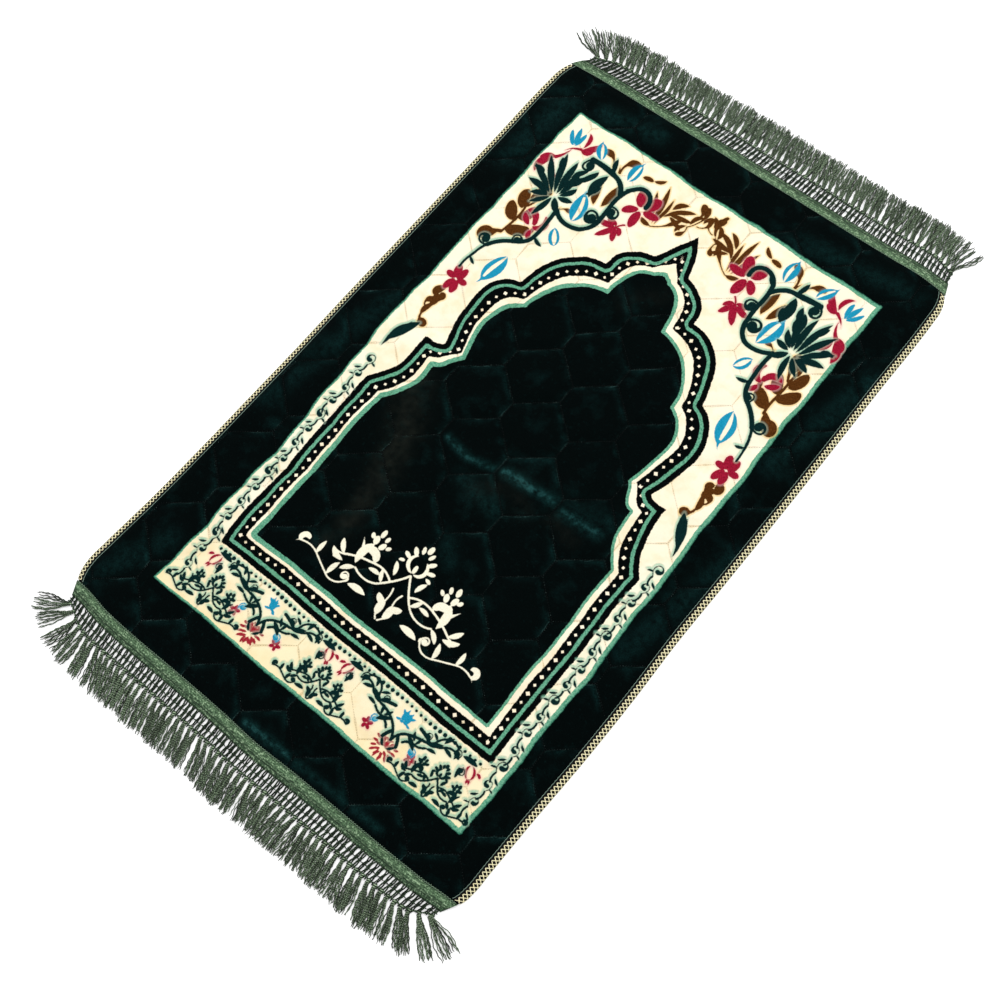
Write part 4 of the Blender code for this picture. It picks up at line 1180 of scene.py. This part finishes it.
# Width is counted from the inner edge outwards, and length along the rug.
inboard = section_reach[BRAID_LIP] - section_reach
for name, right, node in (("braid_left", False, "binding_left"),
                          ("braid_right", True, "binding_right")):
    band_x, band_y, band_z = braid_points(right)
    band_rows, band_count = band_x.shape
    quads, start, end = tube_faces(band_rows, band_count)
    if not right:
        quads, start, end = quads[:, ::-1], start[::-1], end[::-1]
    band_uv = np.stack((np.broadcast_to(inboard, band_y.shape), band_y), axis=-1).reshape(-1, 2)
    corners = np.concatenate((quads.ravel(), start, end))
    piece = make_piece(name, np.stack((band_x, band_y, band_z), axis=-1).reshape(-1, 3),
                       [quads, start, end], uv=band_uv[corners], materials=(braid_weave,))
    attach(piece, "root")
    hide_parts(node)

# ---------------------------------------------------------------------------------------
# The fringed trims: a ribbed tape overlocked to each short end, a net of twisted legs held
# by two chain cords, and a tassel of twisted yarns below every knot, lying on the floor.

# A first guess at a trim's left end and width, and how far in from the long edges it ends.
TRIM_X, TRIM_WIDE, TRIM_IN = -350, 690, 0.3
TAPE_START, TAPE_WIDTH, TAPE_THICK, TAPE_ROWS, TAPE_COLUMNS = 0.8, 21.0, 1.6, 50, 232
# Where the tape leaves the slab's thin end, its underside's height there and on the floor,
# and the distance over which it drops.
DROP_AT, DROP_FROM, DROP_TO, DROP_OVER = 14.3, 3.05, 0.7, 6.7
# The tape's groove, the pitch of its ribs, and the zigzags of the overlock along it.
GROOVE_AT, RIB_PITCH, ZIGZAGS = 14.6, 1.25, 197
LEGS, CHAIN_OUT, KNOT_OUT, TASSEL_OUT = 94, 31.5, 42.5, 46.0
LEG_STEPS, CORD_STEPS, YARN_STEPS, KNOT_STEPS = 15, 620, 18, 8
TASSELS, YARNS, TASSEL_LENGTH = 63, 15, 51.0
# Which way the tassels fall, in degrees from straight out towards +X: place along the trim,
# at the foot, at the arch end.
TASSEL_FALL = (
    (0, -58, -54), (0.016, -38, -44), (0.032, -18, -34), (0.06, 4, -24),
    (0.11, 20, -18), (0.22, 12, -18), (0.34, 16, -12), (0.44, 20, -8),
    (0.54, 12, -10), (0.64, 4, -13), (0.78, 16, -14), (0.86, 14, -6),
    (0.94, 30, -8), (0.975, 42, -2), (1, 68, 6),
)


def trim_place(side, share, out):
    """x and y of places along a trim: a share of the way from its left to its right edge, at
    a distance out from the plush."""
    x = TRIM_X + TRIM_WIDE * share
    for _ in range(ROUNDS):
        y = plush_end(x, side) + side * out
        left, right = rug_edge(y, False) + TRIM_IN, rug_edge(y, True) - TRIM_IN
        x = left + (right - left) * share
    return x, plush_end(x, side) + side * out


def tape_height(out):
    """Top of the tape: level with the CAD tape on the slab's thin end, then draped to the
    floor, with a rounded edge and a groove two thirds of the way out."""
    resting = tape_under(np.minimum(out, DROP_AT)) + TAPE_THICK
    drop = (DROP_FROM - DROP_TO) * ease((out - DROP_AT) / DROP_OVER)
    top = np.where(out < DROP_AT, resting, DROP_FROM + TAPE_THICK - drop)
    ribs = 0.14 * np.cos(TURN * out / RIB_PITCH)
    return top + ribs - 0.5 * bell((out - GROOVE_AT) / 0.7)


def yarn_material(name, dark, middle, light):
    """Two-ply yarn: bright and dark twist stripes round and along it, whose bright parts are a
    painted highlight, and a shade of its own for each strand, which on a tassel's lower yarns is
    painted shade."""
    dyer = Dyer(name, 0.7, sheen=0.03, sheen_tint=dye(190, 215, 180), specular=0.2)
    turn, along = dyer.on_cloth()
    ply = (turn * (2 * TURN) + along * (TURN / 3.1)).wave()
    shade = dyer.field("shade")
    colour = dyer.mix((shade + (dyer.mottle(3.0) - 0.5) * 0.6).ramp(0.1, 0.9), dark, middle)
    # Painted highlight on the ridges of the twist, stronger on the upper, lighter yarns.
    colour = dyer.mix(ply.ramp(0.45, 0.95) * (shade * 0.9 + 0.1), colour, light)
    # A yarn is bright along its top and falls into shade between its neighbours.
    top = np.sin(turn * TURN).ramp(0.0, 0.75)
    colour = dyer.mix((1 - top) * 0.9, colour, dark)
    return dyer.finish(colour, ply * 0.5 + dyer.mottle(0.5) * 0.3, 0.8)


def make_tubes(name, paths, radii, sides, materials, shade, flat=1.0):
    """Yarns in one mesh: a section of `sides` points carried along each path. paths is
    strand by step by xyz and radii strand by step; flat scales the section's height."""
    strands, steps = radii.shape
    ahead = np.gradient(paths, axis=1)
    ahead /= np.linalg.norm(ahead, axis=-1, keepdims=True) + 1e-12
    across = np.cross(ahead, (0.0, 0.0, 1.0))
    across /= np.linalg.norm(across, axis=-1, keepdims=True) + 1e-12
    up = np.cross(across, ahead) * flat
    turn = TURN * np.arange(sides) / sides
    ring = (np.cos(turn)[:, None] * across[:, :, None, :]
            + np.sin(turn)[:, None] * up[:, :, None, :])
    points = paths[:, :, None, :] + radii[:, :, None, None] * ring
    quads, start, end = tube_faces(steps, sides)
    first = (np.arange(strands) * steps * sides)[:, None, None]
    walls = (quads[:, ::-1][None] + first).reshape(-1, 4)
    caps = np.concatenate((start[::-1][None] + first[:, 0], end[::-1][None] + first[:, 0]))
    reach = np.cumsum(np.linalg.norm(np.diff(paths, axis=1, prepend=paths[:, :1]), axis=-1), 1)
    k = np.tile(np.arange(sides), steps - 1)
    row = np.repeat(np.arange(steps - 1), sides)
    low, high = reach[:, row], reach[:, row + 1]
    v = np.stack((high, high, low, low), axis=-1)
    u = np.broadcast_to(np.stack((k, k + 1, k + 1, k), axis=-1) / sides, v.shape)
    wall_uv = np.stack((u, v), axis=-1).reshape(-1, 2)
    cap_uv = np.zeros((caps.size, 2))
    shades = np.repeat(shade, steps * sides)
    return make_piece(name, points.reshape(-1, 3), [walls, caps], {"shade": shades},
                      uv=np.concatenate((wall_uv, cap_uv)), materials=materials)


def tape_material():
    """Rep tape: ribs along its length crossed by fine ticks, lighter on the ribs, with painted
    shade in the groove and dark between the ribs."""
    dyer = Dyer("ribbed_tape", 0.65, sheen=0.2, sheen_tint=dye(190, 215, 180), specular=0.3)
    along, out = dyer.on_cloth()
    out = out + (dyer.mottle(9.0) - 0.5) * 0.6
    rib = (out * (TURN / 2.9)).wave()
    tick = (along * (TURN / 2.6) + out * 1.6).wave()
    speck = dyer.mottle(2.3, 2.0)
    slub = dyer.mottle(3.0, 3.0, stretch=(0.5, 1.3, 1.0))
    middle = 1 - abs(out - 7.5).ramp(1.5, 7.0)
    weave = rib * 0.22 + tick * 0.22 + speck.ramp(0.42, 0.58) * 0.42 + slub.ramp(0.42, 0.6) * 0.26
    colour = dyer.mix(weave.least(1.0), dye(8, 30, 14), dyer.mix(
        middle, dye(82, 116, 80), dye(108, 144, 104)))
    colour = dyer.mix((speck * 0.5 + slub * 0.5).ramp(0.54, 0.6) * 0.6, colour, dye(182, 208, 170))
    # Past the groove the legs of the net start as rows of dark teeth.
    tooth = (along * (TURN / 3.65)).wave()
    colour = dyer.mix(out.ramp(14.5, 19.5) * (tooth.ramp(0.3, 0.8) * 0.6 + 0.12), colour,
                      dye(8, 26, 14))
    # Painted shade darkens the groove, and a dark line runs just inside it.
    second = (1 - abs(out - 11.6).ramp(0.2, 0.9)) * 0.7
    groove = (1 - abs(out - GROOVE_AT).ramp(0.3, 1.1)).most(second)
    edge = 1 - abs(out - 2.0).ramp(0.4, 1.2)
    colour = dyer.mix(groove * 0.75, colour, dye(8, 24, 14))
    colour = dyer.mix(edge * (0.4 + tick * 0.5), colour, dye(4, 16, 12))
    return dyer.finish(colour, rib * 0.5 + tick * 0.35 + slub * 0.4 - groove * 0.5, 0.9)


tape_weave = tape_material()
yarn_twist = yarn_material("twisted_yarn", dye(0, 3, 1), dye(22, 42, 24), dye(176, 200, 164))
net_twist = yarn_material("net_yarn", dye(0, 5, 2), dye(14, 32, 18), dye(96, 124, 90))
overlock_twist = yarn_material("overlock_yarn", dye(20, 44, 30), dye(76, 108, 82),
                               dye(176, 200, 172))


def trim_tape(name, side):
    """The tape as a closed thin band: its ribbed top, then a plain underside."""
    outs = np.linspace(TAPE_START, TAPE_WIDTH, TAPE_ROWS)
    out = np.concatenate((outs, (TAPE_WIDTH, DROP_AT, TAPE_START)))[:, None]
    x, y = trim_place(side, np.linspace(0, 1, TAPE_COLUMNS)[None, :], out)
    top = tape_height(outs)
    # Both edges are rounded off.
    top[0] -= 0.9
    top[-1] -= 0.6
    under = np.array((0.15, 3.1, tape_under(TAPE_START) + 0.05))
    z = np.broadcast_to(np.concatenate((top, under))[:, None], x.shape)
    rows, columns = x.shape
    faces = grid_faces(rows, columns)
    last = (rows - 1) * columns
    c = np.arange(columns - 1)
    closing = np.stack((last + c, last + c + 1, c + 1, c), axis=-1)
    side_a = np.arange(rows) * columns
    side_b = side_a + columns - 1
    if side < 0:
        faces, closing = faces[:, ::-1], closing[:, ::-1]
        side_b = side_b[::-1]
    else:
        side_a = side_a[::-1]
    groups = [faces, closing, side_a, side_b]
    points = np.stack((x, y, z), axis=-1).reshape(-1, 3)
    flat_uv = np.stack(np.broadcast_arrays(x, out), axis=-1).reshape(-1, 2)
    corners = np.concatenate([group.ravel() for group in groups])
    return make_piece(name, points, groups, uv=flat_uv[corners], materials=(tape_weave,))


def trim_overlock(name, side):
    """The zigzag thread that sews the tape's inner edge down, over the edge of the plush."""
    steps = 4 * ZIGZAGS + 1
    share = np.linspace(0.004, 0.996, steps)
    swing = np.abs(np.arange(steps) % 4 - 2) / 2
    out = 0.4 + 1.7 * swing
    x, y = trim_place(side, share, out)
    z = np.where(swing > 0.4, 7.75, 8.75) + 0.15 * np.sin(share * 900)
    path = np.stack((x, y, z), axis=-1)[None]
    return make_tubes(name, path, np.full((1, steps), 0.55), 5, (overlock_twist,),
                      np.array([0.8]))


def closed_up(share, side):
    """How open the net is along a trim: 1, and less at its two ends, where it is bunched."""
    left, right = (0.62, 0.60) if side < 0 else (0.45, 0.30)
    return 1 - left * bell(share / 0.035) - right * bell((1 - share) / 0.03)


def trim_net(name, side, chance):
    """Legs of two yarns that leave the tape side by side, meet at the chain cord and part
    again towards the knots; and the chain cords across them."""
    along = np.linspace(0, 1, LEG_STEPS)
    share = (np.arange(LEGS) + 0.5) / LEGS + chance.uniform(-0.0009, 0.0009, LEGS)
    open_by = closed_up(share, side)[:, None]
    out = TAPE_WIDTH - 1.6 + (TASSEL_OUT - TAPE_WIDTH + 1.6) * along * open_by
    x, y = trim_place(side, share[:, None], out)
    pull = np.where(np.arange(LEGS) % 2 == 0, 1.0, -1.0)[:, None]
    x = x + pull * 0.5 * np.sin(np.pi * np.clip(along * 2, 0, 1))
    part = 0.95 + 0.45 * (1 - ease(along / 0.42)) + 0.55 * ease((along - 0.5) / 0.4)
    knot = bell((along - 0.42) / 0.09)
    phase = chance.uniform(0, TURN, (LEGS, 1)) + along * TURN * 1.7
    z = 1.9 + 0.5 * (1 - ease(along * 4))
    paths, radii, shades = [], [], []
    for ply in (-1, 1):
        sway = 0.3 * np.sin(phase * 1.3 + ply)
        paths.append(np.stack((x + ply * part + sway, y, z + ply * 0.35 * np.sin(phase)), axis=-1))
        radii.append((1.1 + 0.35 * knot) * chance.uniform(0.85, 1.15, (LEGS, 1)))
        shades.append(chance.uniform(0.0, 0.5, LEGS))
    legs = make_tubes(name + "_legs", np.concatenate(paths), np.concatenate(radii), 5,
                      (net_twist,), np.concatenate(shades))
    share = np.linspace(0.0, 1.0, CORD_STEPS)
    open_by = closed_up(share, side)
    cords, cord_radii = [], []
    for out_at, height, thick in ((CHAIN_OUT, 2.6, 0.7), (KNOT_OUT - 0.5, 2.3, 1.15)):
        phase = np.arange(CORD_STEPS) * (TURN / 4.2)
        out = TAPE_WIDTH + (out_at - TAPE_WIDTH + 0.8 * np.sin(share * 23)) * open_by
        cx, cy = trim_place(side, share, out + 0.4 * np.sin(phase))
        cords.append(np.stack((cx, cy, height + 0.25 * np.cos(phase)), axis=-1))
        cord_radii.append(thick * (1 + 0.35 * np.cos(phase + 1.0)))
    chains = make_tubes(name + "_chains", np.stack(cords), np.stack(cord_radii), 5, (net_twist,),
                        np.array([0.3, 0.75]))
    return legs, chains


def trim_tassels(name, side, chance):
    """Knots and yarns. A yarn leaves its knot, bends the way its tassel falls, spreads from
    the tassel's middle line and crinkles; it sinks to the floor towards its tip."""
    each, size = (TASSELS, 1, 1), (TASSELS, YARNS, 1)
    along = np.linspace(0, 1, YARN_STEPS)
    share = ((np.arange(TASSELS) + 0.5) / TASSELS).reshape(each)
    open_by = closed_up(share, side)
    root_x, root_y = trim_place(side, share, TAPE_WIDTH + (TASSEL_OUT - TAPE_WIDTH) * open_by)
    fall = read_table(TASSEL_FALL, 1 if side < 0 else 2, np.linspace(0, 1, TASSELS).reshape(each))
    fall = np.radians(fall) + np.radians(chance.uniform(-9, 9, each) * (1.0 if side < 0 else 0.6))
    aside, straight = np.sin(fall), np.cos(fall)
    length = TASSEL_LENGTH + chance.uniform(-2.4, 2.4, each)
    length = length * (1 + 0.14 * aside**2)
    length = length + chance.uniform(-6.5, 1.5, size)
    lane = (np.arange(YARNS) - (YARNS - 1) / 2)[None, :, None] / (YARNS - 1)
    lane = lane + chance.uniform(-0.12, 0.12, size)
    # Tassels at the two corners fan out further than the others.
    corner = bell(np.minimum(share, 1 - share) / 0.045)
    plump = chance.uniform(0.75, 1.2, each) * (1 + 1.5 * corner)
    spread = lane * (4.4 + (7.0 if side < 0 else 8.6) * ease(along * 1.4) * plump)
    spread = spread + chance.uniform(-3.4, 3.4, size) * along**1.5
    sway = chance.uniform(-1.2, 1.2, size) * np.sin(np.pi * along * 0.9)
    phase = chance.uniform(0, TURN, size)
    pitch = chance.uniform(8.0, 15.0, size)
    twist = TURN * along * length / pitch + phase
    side_step = spread + sway + 0.65 * np.sin(twist) * ease(along * 4)
    forward = length * along
    bend = 0.25 * length * aside * (along**1.25 - along)
    bend = bend + chance.uniform(-2.0, 2.0, each) * np.sin(np.pi * along)
    x = root_x + aside * forward + straight * side_step + bend
    y = root_y + side * straight * forward - side * aside * side_step
    layer = chance.permuted(np.tile(np.arange(YARNS), (TASSELS, 1)), axis=1)[:, :, None] / YARNS
    z = np.maximum(1.05 + layer * (2.9 - 1.3 * along) + 0.3 * np.cos(twist), 1.0)
    paths = np.stack((x, y, z), axis=-1).reshape(-1, YARN_STEPS, 3)
    radii = 0.74 * (1 - 0.4 * ease((along - 0.85) / 0.15)) * chance.uniform(0.8, 1.15, size)
    radii = radii.reshape(-1, YARN_STEPS)
    # A tassel's lower yarns are painted darker, as painted shade under the ones above, with random
    # tone added.
    shades = np.clip(layer * 0.6 + chance.uniform(-0.3, 0.6, size), 0, 1).ravel()
    yarns = make_tubes(name + "_yarns", paths, radii, 4, (yarn_twist,), shades)
    t = np.linspace(0, 1, KNOT_STEPS)[None, :]
    knot_out = TAPE_WIDTH + (KNOT_OUT - 2.2 + 7.5 * t - TAPE_WIDTH) * open_by[:, :, 0]
    knot_x, knot_y = trim_place(side, share[:, :, 0], knot_out)
    knot = np.stack((knot_x, knot_y, np.full_like(knot_x, 2.35)), axis=-1)
    swell = (1.2 + 1.5 * np.sin(np.pi * t) ** 0.7) * chance.uniform(0.9, 1.15, (TASSELS, 1))
    knots = make_tubes(name + "_knots", knot, swell, 7, (yarn_twist,),
                       chance.uniform(0.4, 1.0, TASSELS), flat=0.72)
    return yarns, knots


for end, side, node in (("near", -1, "fringe_near"), ("far", 1, "fringe_far")):
    chance = np.random.default_rng(40 + side)
    tape = trim_tape("tape_" + end, side)
    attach(tape, "root")
    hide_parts(node)
    trim_parts = [trim_overlock("overlock_" + end, side), *trim_net("net_" + end, side, chance),
                  *trim_tassels("tassel_" + end, side, chance)]
    for piece in trim_parts:
        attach(piece, "root")

# ---------------------------------------------------------------------------------------
# Plain pale floor, soft studio light and the camera at the photo's viewpoint.

FLOOR_HALF, FLOOR_AT = 6, -0.0004
floor_mesh = bpy.data.meshes.new("floor")
floor_mesh.from_pydata([(FLOOR_HALF * x, FLOOR_HALF * y, FLOOR_AT)
                        for x, y in ((-1, -1), (1, -1), (1, 1), (-1, 1))], [], [(0, 1, 2, 3)])
floor = place_object("floor", floor_mesh)
paper = Dyer("pale_floor", 0.8, specular=0.1)
# The floor glows a little: painted light that keeps it evenly white in the shade under the fringe
# and round the rug.
paper.feed(paper.shader, {"Emission Color": (1, 1, 1, 1), "Emission Strength": 0.3})
paper.finish(paper.mix(paper.mottle(400.0), dye(248, 248, 248), dye(251, 251, 251)))
floor_mesh.materials.append(paper.material)

world = bpy.data.worlds.new("studio")
bpy.context.scene.world = world
world.use_nodes = True
backdrop = world.node_tree.nodes["Background"].inputs
backdrop["Color"].default_value = (1, 1, 1, 1)
backdrop["Strength"].default_value = 0.75
# Both lamps aim at the middle of the rug: name, place, width, power.
for name, (x, y, z), width, power in (("overhead", (0.5, 0.9, 2.6), 2.2, 38),
                                      ("side", (-2.4, 0.6, 1.9), 1.6, 22)):
    light = bpy.data.lights.new(name, "AREA")
    light.size = width
    light.energy = power
    lamp = place_object(name, light)
    lamp.location = x, y, z
    lamp.rotation_euler = math.atan2(math.hypot(x, y), z), 0, math.atan2(y, x) + math.pi / 2

CAMERA_AT = (0.5905, -0.4874, 1.7724)
CAMERA_AIM = (0.0409, -0.0847, 0.0100)
CAMERA_ROLL, CAMERA_LENS, CAMERA_SENSOR = -14.728, 49.68, 36.0
camera_data = bpy.data.cameras.new("camera")
camera_data.lens = CAMERA_LENS
camera_data.sensor_width = CAMERA_SENSOR
camera = place_object("camera", camera_data)
camera.location = CAMERA_AT
look = np.array(CAMERA_AIM) - CAMERA_AT
look /= np.linalg.norm(look)
level = np.cross(look, (0, 0, 1))
level /= np.linalg.norm(level)
upward = np.cross(level, look)
roll = math.radians(CAMERA_ROLL)
view_right = level * math.cos(roll) + upward * math.sin(roll)
view_up = upward * math.cos(roll) - level * math.sin(roll)
camera.rotation_euler = Matrix(np.stack((view_right, view_up, -look), axis=-1)).to_euler()
bpy.context.scene.camera = camera
bpy.context.scene.view_settings.view_transform = "Standard"
